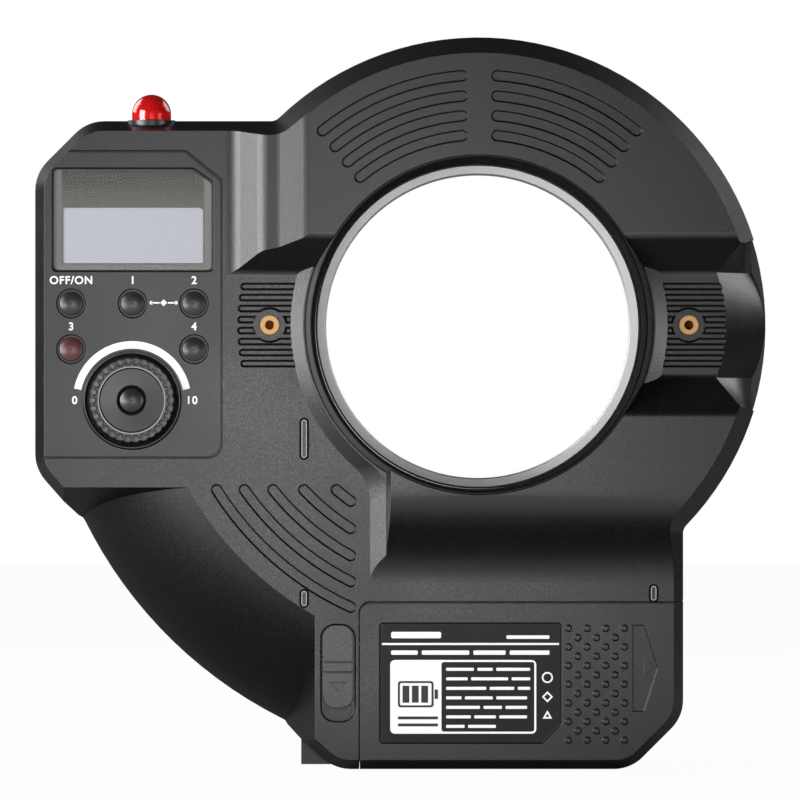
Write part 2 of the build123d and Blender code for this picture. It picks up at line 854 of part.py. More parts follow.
with BuildPart() as rear_housing:
    add(outer_form.part)
    with BuildSketch(at_depth(parting)):
        Rectangle(body_reach * 2 + over, body_reach * 2 + over)
    extrude(amount=-parting - over, mode=Mode.SUBTRACT)
    add(rear_space.part, mode=Mode.SUBTRACT)
    add(bore_opening.part, mode=Mode.SUBTRACT)
    with BuildSketch(at_depth(parting - over)):
        add(battery_region(-seam / 2))
    extrude(amount=high_level, mode=Mode.SUBTRACT)
    add(extrude(rail_profile(rail_rear_depth, 0), amount=rail_end - battery_left, mode=Mode.PRIVATE))
    # recess and ledge of the control panel
    with BuildSketch(at_depth(panel_depth - ledge_thickness)):
        add(panel_outline(-ledge_width))
        add(panel_outline(ledge_width), mode=Mode.SUBTRACT)
        add(outline(low_lean + wall / 2), mode=Mode.INTERSECT)
    extrude(amount=ledge_thickness)
    with BuildSketch(at_depth(panel_depth)):
        add(panel_outline(-seam / 2))
    extrude(amount=wall + over, mode=Mode.SUBTRACT)
    # latch bed with the spring's seat, and the dome's seat
    with BuildSketch(at_depth(bed_front)):
        Polygon(
            (latch_block_left, latch_slot_top + wall),
            (battery_left - seam, latch_slot_top + wall),
            (battery_left - seam, latch_slot_bottom - wall),
            (latch_block_left, latch_slot_bottom - wall),
            align=None,
        )
        add(outline(low_lean), mode=Mode.INTERSECT)
    extrude(amount=low_level - bed_front)
    with BuildSketch(at_depth(foot_front)):
        Polygon(
            (latch_block_left, spring_seat),
            (battery_left - seam, spring_seat),
            (battery_left - seam, spring_seat - spring_seat_thickness),
            (latch_block_left, spring_seat - spring_seat_thickness),
            align=None,
        )
    extrude(amount=bed_front - foot_front)
    with BuildSketch(facing_down(dome_seat_top)):
        with Locations((dome_x, dome_depth)):
            Circle(dome_seat_radius)
    extrude(amount=dome_seat_top - dome_seat_base)
    with BuildSketch(at_depth(low_level)):
        with Locations((insert_offset, 0), (-insert_offset, 0)):
            Circle(insert_boss)
    extrude(amount=-insert_length - wall)
    # ribs of both pads: the right ones run out into the scoop, the middle ones stop at the insert
    with BuildSketch(at_depth(low_level)):
        for row in range(rib_count):
            height = (row - (rib_count - 1) / 2) * rib_pitch
            near = sqrt(rib_inner_radius**2 - height**2)
            far_left = sqrt(rib_outer_radius**2 - height**2)
            far_right = scoop_middle + over
            with Locations((-(near + far_left) / 2, height)):
                SlotOverall(far_left - near, rib_width)
            with Locations(((near + far_right) / 2, height)):
                SlotOverall(far_right - near, rib_width)
        with Locations((insert_offset, 0), (-insert_offset, 0)):
            Circle(insert_boss, mode=Mode.SUBTRACT)
    extrude(amount=-rib_depth, taper=rib_draft, mode=Mode.SUBTRACT)
    with BuildSketch(at_depth(low_level)):
        with Locations((insert_offset, 0), (-insert_offset, 0)):
            Circle(insert_radius + seat_gap)
    extrude(amount=-insert_length, mode=Mode.SUBTRACT)
    # slots of the upper crescent, mirrored about the bore
    with BuildSketch(at_depth(high_level)):
        for radius in upper_slot_radii:
            for side in (-1, 1):
                first = (side * upper_slot_half_gap, sqrt(radius**2 - upper_slot_half_gap**2))
                turn = radians(upper_slot_angle)
                last = (side * radius * sin(turn), radius * cos(turn))
                half_turn = (turn + radians(upper_slot_half_gap / radius)) / 2
                middle = (side * radius * sin(half_turn), radius * cos(half_turn))
                with BuildLine(mode=Mode.PRIVATE) as path:
                    ThreePointArc(first, middle, last)
                SlotArc(path.wires()[0], slot_width)
    extrude(amount=-slot_depth, taper=draft, mode=Mode.SUBTRACT)
    # slots beside the grip
    with BuildSketch(at_depth(low_level)):
        for radius in lower_slot_radii:
            first = (-sqrt(radius**2 - lower_slot_top**2), lower_slot_top)
            last = (lower_slot_right, -sqrt(radius**2 - lower_slot_right**2))
            span = hypot(first[0] + last[0], first[1] + last[1])
            middle = (radius * (first[0] + last[0]) / span, radius * (first[1] + last[1]) / span)
            with BuildLine(mode=Mode.PRIVATE) as path:
                ThreePointArc(first, middle, last)
            SlotArc(path.wires()[0], slot_width)
    extrude(amount=-slot_depth, taper=draft, mode=Mode.SUBTRACT)
    with BuildSketch(at_depth(low_level)):
        for x, top, bottom in ticks:
            with Locations((x, (top + bottom) / 2)):
                SlotOverall(top - bottom, tick_width, rotation=90)
    extrude(amount=tick_height)
    # latch slot, its stem's slit and the tongue's window in the bay's end wall
    with BuildSketch(at_depth(low_level)):
        with Locations((latch_x, (latch_slot_top + latch_slot_bottom) / 2)):
            RectangleRounded(latch_slot_width, latch_slot_top - latch_slot_bottom, latch_corner)
    extrude(amount=-latch_recess, taper=latch_draft, mode=Mode.SUBTRACT)
    with BuildSketch(at_depth(bed_front - over)):
        with Locations((latch_x, (stem_top + stem_bottom - latch_travel) / 2)):
            Rectangle(stem_width + fit_gap * 2, stem_top - stem_bottom + latch_travel + fit_gap * 2)
    extrude(amount=latch_bed + over * 2, mode=Mode.SUBTRACT)
    with BuildSketch(at_depth(foot_front - fit_gap)):
        with Locations((battery_left, (stem_top + stem_bottom - latch_travel) / 2)):
            Rectangle(wall * 2 + seam * 2, tongue_width + latch_travel + fit_gap * 2)
    extrude(amount=tongue_thickness + fit_gap * 2, mode=Mode.SUBTRACT)
    # holes: dome, jacks and screws
    with BuildSketch(facing_down(dome_seat_top)):
        with Locations((dome_x, dome_depth)):
            Circle(dome_neck + fit_gap)
    extrude(amount=dome_seat_top - dome_seat_base + over, mode=Mode.SUBTRACT)
    with BuildSketch(facing_left(-body_reach + wall + over)):
        with Locations((jack_depth, jack_z)):
            Circle(jack_radius + fit_gap / 2)
        with Locations((jack_depth, port_z)):
            Rectangle(port_height + fit_gap, port_width + fit_gap)
    extrude(amount=wall + over * 2, mode=Mode.SUBTRACT)
    with BuildSketch(at_depth(parting - wall)):
        with Locations(*body_screws, *ring_screws):
            Circle(screw_radius)
    extrude(amount=body_head_seat, mode=Mode.SUBTRACT)
save(rear_housing, "rear_housing")

# Bore
thread_wall = 3.3
thread_length = 14.0
thread_chamfer = 0.7
barrel_front = 3.4
thread_outer = barrel_bore - fit_gap
thread_bore = thread_outer - thread_wall

with BuildPart() as bore_barrel:
    with BuildSketch(section):
        Polygon(
            (barrel_bore, barrel_front),
            (barrel_radius, barrel_front),
            (barrel_radius, low_level),
            (lip_radius, high_level),
            (barrel_bore, high_level),
            align=None,
        )
    revolve(axis=Axis.Y)
save(bore_barrel, "bore_barrel")

with BuildPart() as thread_ring:
    with BuildSketch(section):
        Polygon(
            (thread_bore, 0),
            (thread_outer, 0),
            (thread_outer, thread_length - thread_chamfer),
            (thread_outer - thread_chamfer, thread_length),
            (thread_bore, thread_length),
            align=None,
        )
    revolve(axis=Axis.Y)
save(thread_ring, "thread_ring")

# Front rings and glass
bezel_thickness = 3.2
bezel_lip = 1.5
bezel_rebate = 2.6
outer_bezel_width = 6.4
trim_width = 1.9
trim_reach = 0.4
trim_outer = ring_radius + trim_reach
trim_inner = trim_outer - trim_width
outer_bezel_outer = trim_inner - fit_gap
outer_bezel_inner = outer_bezel_outer - outer_bezel_width
outer_bezel_seat = outer_bezel_inner + bezel_rebate
inner_bezel_seat = cavity_bore - fit_gap
inner_bezel_outer = inner_bezel_seat + bezel_rebate
trim_front = 0.6
trim_rear = ring_face + 1.4
glass_front = bezel_thickness + fit_gap
glass_thickness = 2.0

with BuildPart() as front_bezel:
    with BuildSketch(section):
        Polygon(
            (outer_bezel_inner, bezel_lip),
            (outer_bezel_inner + bezel_lip, 0),
            (outer_bezel_outer, 0),
            (outer_bezel_outer, ring_face - fit_gap),
            (outer_bezel_seat, ring_face - fit_gap),
            (outer_bezel_seat, bezel_thickness),
            (outer_bezel_inner, bezel_thickness),
            align=None,
        )
    revolve(axis=Axis.Y)
save(front_bezel, "front_bezel")

with BuildPart() as inner_bezel:
    with BuildSketch(section):
        Polygon(
            (thread_outer + fit_gap, 0),
            (inner_bezel_outer - bezel_lip, 0),
            (inner_bezel_outer, bezel_lip),
            (inner_bezel_outer, bezel_thickness),
            (inner_bezel_seat, bezel_thickness),
            (inner_bezel_seat, ring_face - fit_gap),
            (barrel_radius + bore_gap, ring_face - fit_gap),
            (barrel_radius + bore_gap, bezel_thickness),
            (thread_outer + fit_gap, bezel_thickness),
            align=None,
        )
    revolve(axis=Axis.Y)
save(inner_bezel, "inner_bezel")

with BuildPart() as front_trim:
    with BuildSketch(section):
        Polygon(
            (trim_inner, trim_front),
            (trim_outer - trim_front, trim_front),
            (trim_outer, trim_front * 2),
            (trim_outer, trim_rear),
            (ring_radius - fit_gap, trim_rear),
            (ring_radius - fit_gap, ring_face - fit_gap / 2),
            (trim_inner, ring_face - fit_gap / 2),
            align=None,
        )
    revolve(axis=Axis.Y)
save(front_trim, "front_trim")

with BuildPart() as front_glass:
    with BuildSketch(at_depth(glass_front)):
        Circle(outer_bezel_seat - fit_gap)
        Circle(inner_bezel_seat + fit_gap, mode=Mode.SUBTRACT)
    extrude(amount=glass_thickness)
save(front_glass, "front_glass")

# Light source: circular tube in a trough-shaped reflector
tube_radius = 5.0
tube_depth = 15.0
reflector_rim_depth = ring_face + fit_gap / 2
reflector_bottom = 26.4
reflector_sheet = 0.8
reflector_inner = trough_inner + fit_gap
reflector_outer = trough_outer - fit_gap
reflector_middle = (reflector_inner + reflector_outer) / 2
reflector_bend = (reflector_outer - reflector_inner) / 2
reflector_bend_depth = reflector_bottom - reflector_bend
reflector_bands = 7
reflector_flat = sin(pi * (reflector_bands // 2) / reflector_bands)
reflector_floor = reflector_bend_depth + (reflector_bend - reflector_sheet) * reflector_flat
clip_thickness = 1.2
clip_angle = 4
clip_angles = (90, 200, 340)
lead_length = 17.0

with BuildPart() as reflector:
    with BuildSketch(section):
        turns = [pi * band / reflector_bands for band in range(reflector_bands + 1)]
        outer_bend = [
            (
                reflector_middle - reflector_bend * cos(t),
                reflector_bend_depth + reflector_bend * sin(t),
            )
            for t in turns
        ]
        inner_bend = [
            (
                reflector_middle - (reflector_bend - reflector_sheet) * cos(t),
                reflector_bend_depth + (reflector_bend - reflector_sheet) * sin(t),
            )
            for t in reversed(turns)
        ]
        Polygon(
            (reflector_inner, reflector_rim_depth),
            *outer_bend,
            (reflector_outer, reflector_rim_depth),
            (reflector_outer - reflector_sheet, reflector_rim_depth),
            *inner_bend,
            (reflector_inner + reflector_sheet, reflector_rim_depth),
            align=None,
        )
    revolve(axis=Axis.Y)
    with BuildSketch(at_depth(tube_depth)):
        with Locations(*lead_places):
            Circle(lead_radius + fit_gap)
    extrude(amount=lead_length, mode=Mode.SUBTRACT)
save(reflector, "reflector")

with BuildPart() as flash_tube:
    with BuildSketch(section.rotated((0, 90 - tube_gap_angle, 0))):
        with Locations((tube_circle, tube_depth)):
            Circle(tube_radius)
    revolve(axis=Axis.Y, revolution_arc=360 - 2 * tube_gap_angle)
    with BuildSketch(at_depth(tube_depth)):
        with Locations(*lead_places):
            Circle(lead_radius)
    extrude(amount=lead_length)
save(flash_tube, "flash_tube")

with BuildPart() as tube_clips:
    for angle in clip_angles:
        with BuildSketch(section.rotated((0, -angle, 0))):
            with Locations((tube_circle, tube_depth)):
                Circle(tube_radius + fit_gap / 2 + clip_thickness)
                Circle(tube_radius + fit_gap / 2, mode=Mode.SUBTRACT)
            Polygon(
                (tube_circle - clip_thickness, tube_depth + tube_radius + clip_thickness / 2),
                (tube_circle + clip_thickness, tube_depth + tube_radius + clip_thickness / 2),
                (tube_circle + clip_thickness, reflector_floor - fit_gap / 2),
                (tube_circle - clip_thickness, reflector_floor - fit_gap / 2),
                align=None,
            )
        revolve(axis=Axis.Y, revolution_arc=clip_angle)
save(tube_clips, "tube_clips")

# Modelling lights on a ring board beside the inner bezel
led_count = 24
led_length = 3.0
led_width = 2.6
led_height = 1.0
led_board_front = ledge_depth - board_thickness
led_circle = (cavity_bore + trough_inner) / 2

with BuildPart() as led_board:
    with BuildSketch(at_depth(led_board_front)):
        Circle(trough_inner - fit_gap)
        Circle(cavity_bore + fit_gap, mode=Mode.SUBTRACT)
    extrude(amount=board_thickness)
save(led_board, "led_board")

with BuildPart() as modelling_leds:
    with BuildSketch(at_depth(led_board_front)):
        with PolarLocations(led_circle, led_count):
            Rectangle(led_width, led_length)
    extrude(amount=-led_height)
save(modelling_leds, "modelling_leds")

# Control panel
key_size = 6.2
key_height = 2.6
plunger_radius = 1.7
flange_rear = panel_depth - fit_gap / 2
flange_front = flange_rear - flange_thickness
plunger_top = flange_front - press_travel - fit_gap / 2
screen_rear = panel_board_rear + screen_thickness

with BuildPart() as control_panel:
    add(outer_form.part)
    with BuildSketch(at_depth(panel_depth)):
        add(panel_outline(seam / 2))
    extrude(amount=wall + over, mode=Mode.INTERSECT)
    # shadow line along the plate's closed edges
    with BuildSketch(at_depth(low_level - shadow_depth)):
        add(panel_outline(0))
        add(panel_outline(seam / 2 + shadow_width), mode=Mode.SUBTRACT)
    extrude(amount=shadow_depth + over, mode=Mode.SUBTRACT)
    # window recess with its bevelled edge, and view hole
    with BuildSketch(at_depth(low_level - window_thickness)):
        add(window_outline(0))
    extrude(amount=window_thickness + over, mode=Mode.SUBTRACT)
    with BuildSketch(at_depth(low_level)):
        add(window_outline(-window_bevel))
    extrude(amount=-window_bevel, taper=bevel_angle, mode=Mode.SUBTRACT)
    with BuildSketch(at_depth(panel_depth - over)):
        Polygon(
            (view_left, view_bottom),
            (view_right, view_bottom),
            (view_right, view_top),
            (view_left, view_top),
            align=None,
        )
    extrude(amount=wall + over * 2, mode=Mode.SUBTRACT)
    # button holes, each in a shallow dish
    with BuildSketch(at_depth(panel_depth - over)):
        with Locations(*button_places.values()):
            Circle(cap_size + fit_gap)
        with Locations((dial_x, dial_z)):
            Circle(dial_ring_seat)
    extrude(amount=wall + over * 2, mode=Mode.SUBTRACT)
    with BuildSketch(at_depth(low_level)):
        with Locations(*button_places.values()):
            Circle(cap_dish)
    extrude(amount=-cap_dish_depth, taper=draft, mode=Mode.SUBTRACT)
    # posts that carry the panel's board
    with BuildSketch(at_depth(panel_board_rear)):
        with Locations(*panel_posts):
            Circle(panel_post_radius)
    extrude(amount=panel_depth - panel_board_rear)
save(control_panel, "control_panel")

with BuildPart() as lcd_window:
    with BuildSketch(at_depth(low_level - window_thickness)):
        add(window_outline(fit_gap / 2))
    extrude(amount=window_thickness)
save(lcd_window, "lcd_window")

with BuildPart() as lcd_module:
    with BuildSketch(at_depth(panel_board_rear)):
        Polygon(
            (view_left + fit_gap, view_bottom + fit_gap),
            (view_right - fit_gap, view_bottom + fit_gap),
            (view_right - fit_gap, view_top - fit_gap),
            (view_left + fit_gap, view_top - fit_gap),
            align=None,
        )
    extrude(amount=low_level - window_thickness - fit_gap - panel_board_rear)
save(lcd_module, "lcd_module")

panel_board_left = -143.6
panel_board_right = -91.0
panel_board_bottom = -42.6
panel_board_top = 58.0

with BuildPart() as panel_board:
    with BuildSketch(at_depth(panel_board_depth)):
        Polygon(
            (panel_board_left, panel_board_bottom),
            (panel_board_right, panel_board_bottom),
            (panel_board_right, panel_board_top),
            (panel_board_left, panel_board_top),
            align=None,
        )
        add(outline(low_lean + wall + fit_gap), mode=Mode.INTERSECT)
        with Locations(*body_screws):
            Circle(boss_radius + fit_gap, mode=Mode.SUBTRACT)
    extrude(amount=board_thickness)
save(panel_board, "panel_board")

with BuildPart() as key_switches:
    with BuildSketch(at_depth(panel_board_rear)):
        with Locations(*button_places.values()):
            Rectangle(key_size, key_size)
    extrude(amount=key_height)
    with BuildSketch(at_depth(panel_board_rear + key_height)):
        with Locations(*button_places.values()):
            Circle(plunger_radius)
    extrude(amount=plunger_top - panel_board_rear - key_height)
save(key_switches, "key_switches")

# Each button: a domed cap on a flange that the panel holds back
cap_dome = 0.75
for name, place in button_places.items():
    button_section = Plane(origin=(place[0], 0, place[1]), x_dir=(1, 0, 0), z_dir=(0, 0, -1))
    cap_shoulder = (cap_size, low_level + cap_stand - cap_dome)
    cap_crown = (0, low_level + cap_stand)
    with BuildPart() as button:
        with BuildSketch(button_section):
            with BuildLine():
                Polyline(
                    cap_crown,
                    (0, flange_front),
                    (cap_flange, flange_front),
                    (cap_flange, flange_rear),
                    (cap_size, flange_rear),
                    cap_shoulder,
                )
                RadiusArc(cap_crown, cap_shoulder, (cap_size**2 + cap_dome**2) / (2 * cap_dome))
            make_face()
        revolve(axis=Axis((place[0], 0, place[1]), (0, 1, 0)))
    save(button, name)

# Dial, its ring and its centre button
dial_teeth = 30
tooth_circle = 13.15
tooth_radius = 0.95
tooth_depth = 1.0
dial_rim = 13.9
dial_shelf = 11.1
dial_bevel = 0.4
dial_cone = 0.4
dial_well = 1.0
dial_base = low_level - dial_skirt
dial_top = low_level + dial_height
centre_stand = 0.5
centre_dome = 0.9
encoder_size = 13.0
encoder_rear = hub_depth - fit_gap

dial_section = Plane(origin=(dial_x, 0, dial_z), x_dir=(1, 0, 0), z_dir=(0, 0, -1))
dial_axis = Axis((dial_x, 0, dial_z), (0, 1, 0))

with BuildPart() as dial_bezel:
    with BuildSketch(dial_section):
        Polygon(
            (dial_ring_inner, panel_depth),
            (dial_ring_seat - fit_gap / 2, panel_depth),
            (dial_ring_seat - fit_gap / 2, low_level),
            (dial_ring_outer, low_level),
            (dial_ring_outer, low_level + seam),
            (dial_ring_seat, low_level + dial_ring_stand),
            (dial_ring_seat - seam, low_level + dial_ring_stand),
            (dial_ring_inner, low_level + seam),
            align=None,
        )
    revolve(axis=dial_axis)
save(dial_bezel, "dial_bezel")

with BuildPart() as dial:
    with BuildSketch(dial_section):
        Polygon(
            (centre_bore, hub_depth),
            (dial_hub, hub_depth),
            (dial_hub, dial_base),
            (dial_radius, dial_base),
            (dial_radius, low_level + seam),
            (dial_rim, dial_top),
            (dial_shelf, dial_top),
            (dial_shelf - dial_bevel, dial_top - dial_bevel),
            (centre_bore + dial_well, dial_top - dial_bevel - dial_cone),
            (centre_bore, dial_top - dial_bevel - dial_cone - dial_well),
            align=None,
        )
    revolve(axis=dial_axis)
    # flutes round the rim, each with a round inner end
    with BuildSketch(at_depth(dial_top)):
        with Locations((dial_x, dial_z)):
            with PolarLocations(tooth_circle, dial_teeth):
                Circle(tooth_radius)
            with PolarLocations((tooth_circle + dial_radius) / 2, dial_teeth):
                Rectangle(dial_radius - tooth_circle, tooth_radius * 2)
    extrude(amount=-tooth_depth, mode=Mode.SUBTRACT)
save(dial, "dial")

centre_crown = (0, dial_top + centre_stand - dial_bevel)
centre_shoulder = (centre_radius, dial_top + centre_stand - dial_bevel - centre_dome)

with BuildPart() as set_button:
    with BuildSketch(dial_section):
        with BuildLine():
            Polyline(
                centre_crown,
                (0, hub_depth + centre_travel + fit_gap),
                (centre_radius, hub_depth + centre_travel + fit_gap),
                centre_shoulder,
            )
            RadiusArc(
                centre_crown,
                centre_shoulder,
                (centre_radius**2 + centre_dome**2) / (2 * centre_dome),
            )
        make_face()
    revolve(axis=dial_axis)
save(set_button, "set_button")

with BuildPart() as encoder:
    with BuildSketch(at_depth(panel_board_rear)):
        with Locations((dial_x, dial_z)):
            Rectangle(encoder_size, encoder_size)
    extrude(amount=encoder_rear - panel_board_rear)
save(encoder, "encoder")

# Power section in the tray
transformer_width = 24.0
transformer_height = 22.0
transformer_depth = 16.0
transformer_place = (-121.0, -20.0)
core_gap = 5.0
coil_radius = 6.0
coil_length = 16.0
coil_place = (-116.0, 34.0)
buzzer_radius = 6.0
buzzer_height = 7.0
buzzer_place = (-131.0, 12.0)
power_board_rear = power_board_depth + board_thickness

with BuildPart() as power_board:
    with BuildSketch(at_depth(power_board_depth)):
        Polygon(
            (power_board_left, power_board_bottom),
            (power_board_right, power_board_bottom),
            (power_board_right, power_board_top),
            (power_board_left, power_board_top),
            align=None,
        )
    extrude(amount=board_thickness)
save(power_board, "power_board")

with BuildPart() as charge_transformer:
    with BuildSketch(at_depth(power_board_rear)):
        with Locations(transformer_place):
            Rectangle(transformer_width, transformer_height)
    extrude(amount=transformer_depth)
    with BuildSketch(at_depth(power_board_rear)):
        with Locations(transformer_place):
            Rectangle(transformer_width - core_gap * 2, transformer_height + core_gap)
    extrude(amount=transformer_depth - core_gap / 2)
save(charge_transformer, "charge_transformer")

with BuildPart() as trigger_coil:
    with BuildSketch(at_depth(power_board_rear)):
        with Locations(coil_place):
            Circle(coil_radius)
    extrude(amount=coil_length)
save(trigger_coil, "trigger_coil")

with BuildPart() as buzzer:
    with BuildSketch(at_depth(power_board_rear)):
        with Locations(buzzer_place):
            Circle(buzzer_radius)
    extrude(amount=buzzer_height)
    with BuildSketch(at_depth(power_board_rear + buzzer_height)):
        with Locations(buzzer_place):
            Circle(screw_radius)
    extrude(amount=-board_thickness, mode=Mode.SUBTRACT)
save(buzzer, "buzzer")

with BuildPart() as capacitors:
    for x, z in cap_places:
        start = Vector(x + cap_length / 2 / sqrt(2), -cap_depth, z - cap_length / 2 / sqrt(2))
        with BuildSketch(Plane(origin=start, z_dir=(-1, 0, 1))):
            Circle(cap_radius)
        extrude(amount=cap_length)
    chamfer(capacitors.edges().filter_by(GeomType.CIRCLE), cap_rim)
save(capacitors, "capacitors")

# Dome over the light sensor
dome_section = Plane(origin=(dome_x, -dome_depth, 0), x_dir=(1, 0, 0), z_dir=(0, -1, 0))
dome_axis = Axis((dome_x, -dome_depth, 0), (0, 0, 1))
dome_flange_top = dome_seat_base - fit_gap / 2
dome_flange_bottom = dome_flange_top - dome_flange_thickness
dome_shoulder = dome_seat_top + fit_gap / 2
bulb_level = dome_top - dome_radius

with BuildPart() as sensor_dome:
    with BuildSketch(dome_section):
        with BuildLine():
            Polyline(
                (0, dome_top),
                (0, dome_flange_bottom),
                (dome_flange_radius, dome_flange_bottom),
                (dome_flange_radius, dome_flange_top),
                (dome_neck, dome_flange_top),
                (dome_neck, dome_shoulder),
                (dome_radius, dome_shoulder),
                (dome_radius, bulb_level),
            )
            ThreePointArc(
                (dome_radius, bulb_level),
                (dome_radius / sqrt(2), bulb_level + dome_radius / sqrt(2)),
                (0, dome_top),
            )
        make_face()
    revolve(axis=dome_axis)
save(sensor_dome, "sensor_dome")

sensor_size = 8.0
sensor_gap = 0.2
sensor_top = dome_flange_bottom - sensor_gap

with BuildPart() as light_sensor:
    with BuildSketch(facing_down(sensor_top)):
        with Locations((dome_x, dome_depth)):
            Rectangle(sensor_size, sensor_size)
    extrude(amount=board_thickness)
save(light_sensor, "light_sensor")

# Jacks in the left side
with BuildPart() as sync_jack:
    with BuildSketch(facing_left(-body_reach + jack_length)):
        with Locations((jack_depth, jack_z)):
            Circle(jack_radius)
    extrude(amount=jack_length)
    with BuildSketch(facing_left(-body_reach + jack_hole_length)):
        with Locations((jack_depth, jack_z)):
            Circle(jack_bore)
    extrude(amount=jack_hole_length, mode=Mode.SUBTRACT)
save(sync_jack, "sync_jack")

with BuildPart() as control_port:
    with BuildSketch(facing_left(-body_reach + port_length)):
        with Locations((jack_depth, port_z)):
            Rectangle(port_height, port_width)
    extrude(amount=port_length)
    with BuildSketch(facing_left(-body_reach + port_length - port_wall * 2)):
        with Locations((jack_depth, port_z)):
            Rectangle(port_height - port_wall * 2, port_width - port_wall * 2)
    extrude(amount=port_length, mode=Mode.SUBTRACT)
    with BuildSketch(facing_left(-body_reach + port_length)):
        with Locations((jack_depth, port_z)):
            Rectangle(port_wall * 2, port_width - port_wall * 6)
    extrude(amount=port_length - port_wall * 2)
save(control_port, "control_port")

with BuildPart() as brass_inserts:
    with BuildSketch(at_depth(low_level - insert_length)):
        with Locations((insert_offset, 0), (-insert_offset, 0)):
            Circle(insert_root)
            with PolarLocations(0, insert_teeth):
                with Locations((insert_root, 0)):
                    Rectangle((insert_radius - insert_root) * 2, insert_radius * pi / insert_teeth)
        with Locations((insert_offset, 0), (-insert_offset, 0)):
            Circle(insert_thread, mode=Mode.SUBTRACT)
    extrude(amount=insert_length + insert_stand)
save(brass_inserts, "brass_inserts")

# Battery pack
label_left = -33.75
label_right = 27.8
label_top = -102.1
label_bottom = -142.6
label_chamfer = 6.5
label_corner = 1.5
label_recess = 0.5
label_thickness = 0.4
label_gap = 0.15
arrow_left = 52.3
arrow_shoulder = 56.35
arrow_apex = 61.1
arrow_apex_z = -117.1
arrow_top = -102.4
arrow_bottom = -132.1
arrow_recess = 0.6
bump_radius = 1.3
bump_height = 0.5
bump_pitch_x = 6.37
bump_pitch_z = 6.37
bump_left = 30.5
bump_rows = 13
bump_columns = 4
bump_top = -103.6
socket_width = 3.0
socket_height = 8.0
catch_height = 10.0
catch_width = 3.0
pack_cell_count = 3
cell_gap = 0.8


def label_outline(inset):
    """The label's outline: rounded corners, the lower right one cut off."""
    with BuildSketch() as area:
        Polygon(
            (label_left + inset, label_top - inset),
            (label_right - inset, label_top - inset),
            (label_right - inset, label_bottom + label_chamfer + inset),
            (label_right - label_chamfer - inset, label_bottom + inset),
            (label_left + inset, label_bottom + inset),
            align=None,
        )
        fillet(area.vertices(), label_corner)
    return area.sketch


with BuildPart() as battery_case:
    add(body_form.part)
    with BuildSketch(at_depth(front_level)):
        add(battery_region(seam / 2))
    extrude(amount=low_level - front_level, mode=Mode.INTERSECT)
    # room for the cells
    with BuildSketch(at_depth(front_level + wall)):
        add(outline(low_lean + wall))
        add(battery_region(seam / 2 + wall), mode=Mode.INTERSECT)
        with Locations((battery_left, battery_top)):
            Rectangle(
                body_reach * 2,
                (rail_drop + seam + wall) * 2,
                mode=Mode.SUBTRACT,
            )
    extrude(amount=low_level - front_level - wall * 2, mode=Mode.SUBTRACT)
    # rebate for the sill, and the shadow line along the seam
    with BuildSketch(at_depth(front_level - over)):
        Polygon(
            (battery_left, battery_top),
            (battery_left + sill_reach + seam, battery_top),
            (battery_left + sill_reach + seam, -body_reach),
            (battery_left, -body_reach),
            align=None,
        )
    extrude(amount=over + sill_thickness + seam, mode=Mode.SUBTRACT)
    with BuildSketch(at_depth(low_level - shadow_depth)):
        add(battery_region(0))
        add(battery_region(seam / 2 + shadow_width), mode=Mode.SUBTRACT)
    extrude(amount=shadow_depth + over, mode=Mode.SUBTRACT)
    # grooves that run on the rails
    for depth in (rail_front_depth, rail_rear_depth):
        add(
            extrude(
                rail_profile(depth, rail_gap),
                amount=rail_end + over - battery_left,
                mode=Mode.PRIVATE,
            ),
            mode=Mode.SUBTRACT,
        )
    # label bed, arrow and finger bumps
    with BuildSketch(at_depth(low_level)):
        add(label_outline(-label_recess))
    extrude(amount=-label_recess, taper=bevel_angle, mode=Mode.SUBTRACT)
    with BuildSketch(at_depth(low_level)):
        Polygon(
            (arrow_left, arrow_top),
            (arrow_shoulder, arrow_top),
            (arrow_apex, arrow_apex_z),
            (arrow_shoulder, arrow_bottom),
            (arrow_left, arrow_bottom),
            align=None,
        )
    extrude(amount=-arrow_recess, taper=draft, mode=Mode.SUBTRACT)
    with BuildSketch(at_depth(low_level)):
        for row in range(bump_rows):
            for column in range(bump_columns - row % 2):
                x = bump_left + (column + row % 2 / 2) * bump_pitch_x
                with Locations((x, bump_top - row * bump_pitch_z / 2)):
                    Circle(bump_radius)
    extrude(amount=bump_height, taper=bevel_angle)
    # contact sockets and the catch's pocket in the left end
    with BuildSketch(facing_left(battery_left + socket_depth)):
        for z in socket_places:
            with Locations((socket_level, z)):
                Rectangle(socket_height, socket_width)
        with Locations((tongue_depth, (stem_top + stem_bottom - latch_travel) / 2)):
            Rectangle(catch_width, catch_height)
    extrude(amount=socket_depth + over, mode=Mode.SUBTRACT)
save(battery_case, "battery_case")

with BuildPart() as battery_label:
    with BuildSketch(at_depth(low_level - label_recess)):
        add(label_outline(label_gap))
    extrude(amount=label_thickness)
save(battery_label, "battery_label")

cell_left = -31.0
cell_right = 50.0
cell_top = battery_top - rail_drop - seam - wall - cell_gap
cell_bottom = -145.3
cell_room = low_level - front_level - wall * 2
cell_thickness = (cell_room - cell_gap * (pack_cell_count + 1)) / pack_cell_count
cell_edge = 1.5
clip_length = 4.0
clip_wall = 0.7

with BuildPart() as battery_cells:
    for layer in range(pack_cell_count):
        with BuildSketch(at_depth(front_level + wall + cell_gap + layer * (cell_thickness + cell_gap))):
            Polygon(
                (cell_left, cell_bottom),
                (cell_right, cell_bottom),
                (cell_right, cell_top),
                (cell_left, cell_top),
                align=None,
            )
        extrude(amount=cell_thickness)
    fillet(battery_cells.edges().filter_by(Axis.Y), cell_edge)
save(battery_cells, "battery_cells")

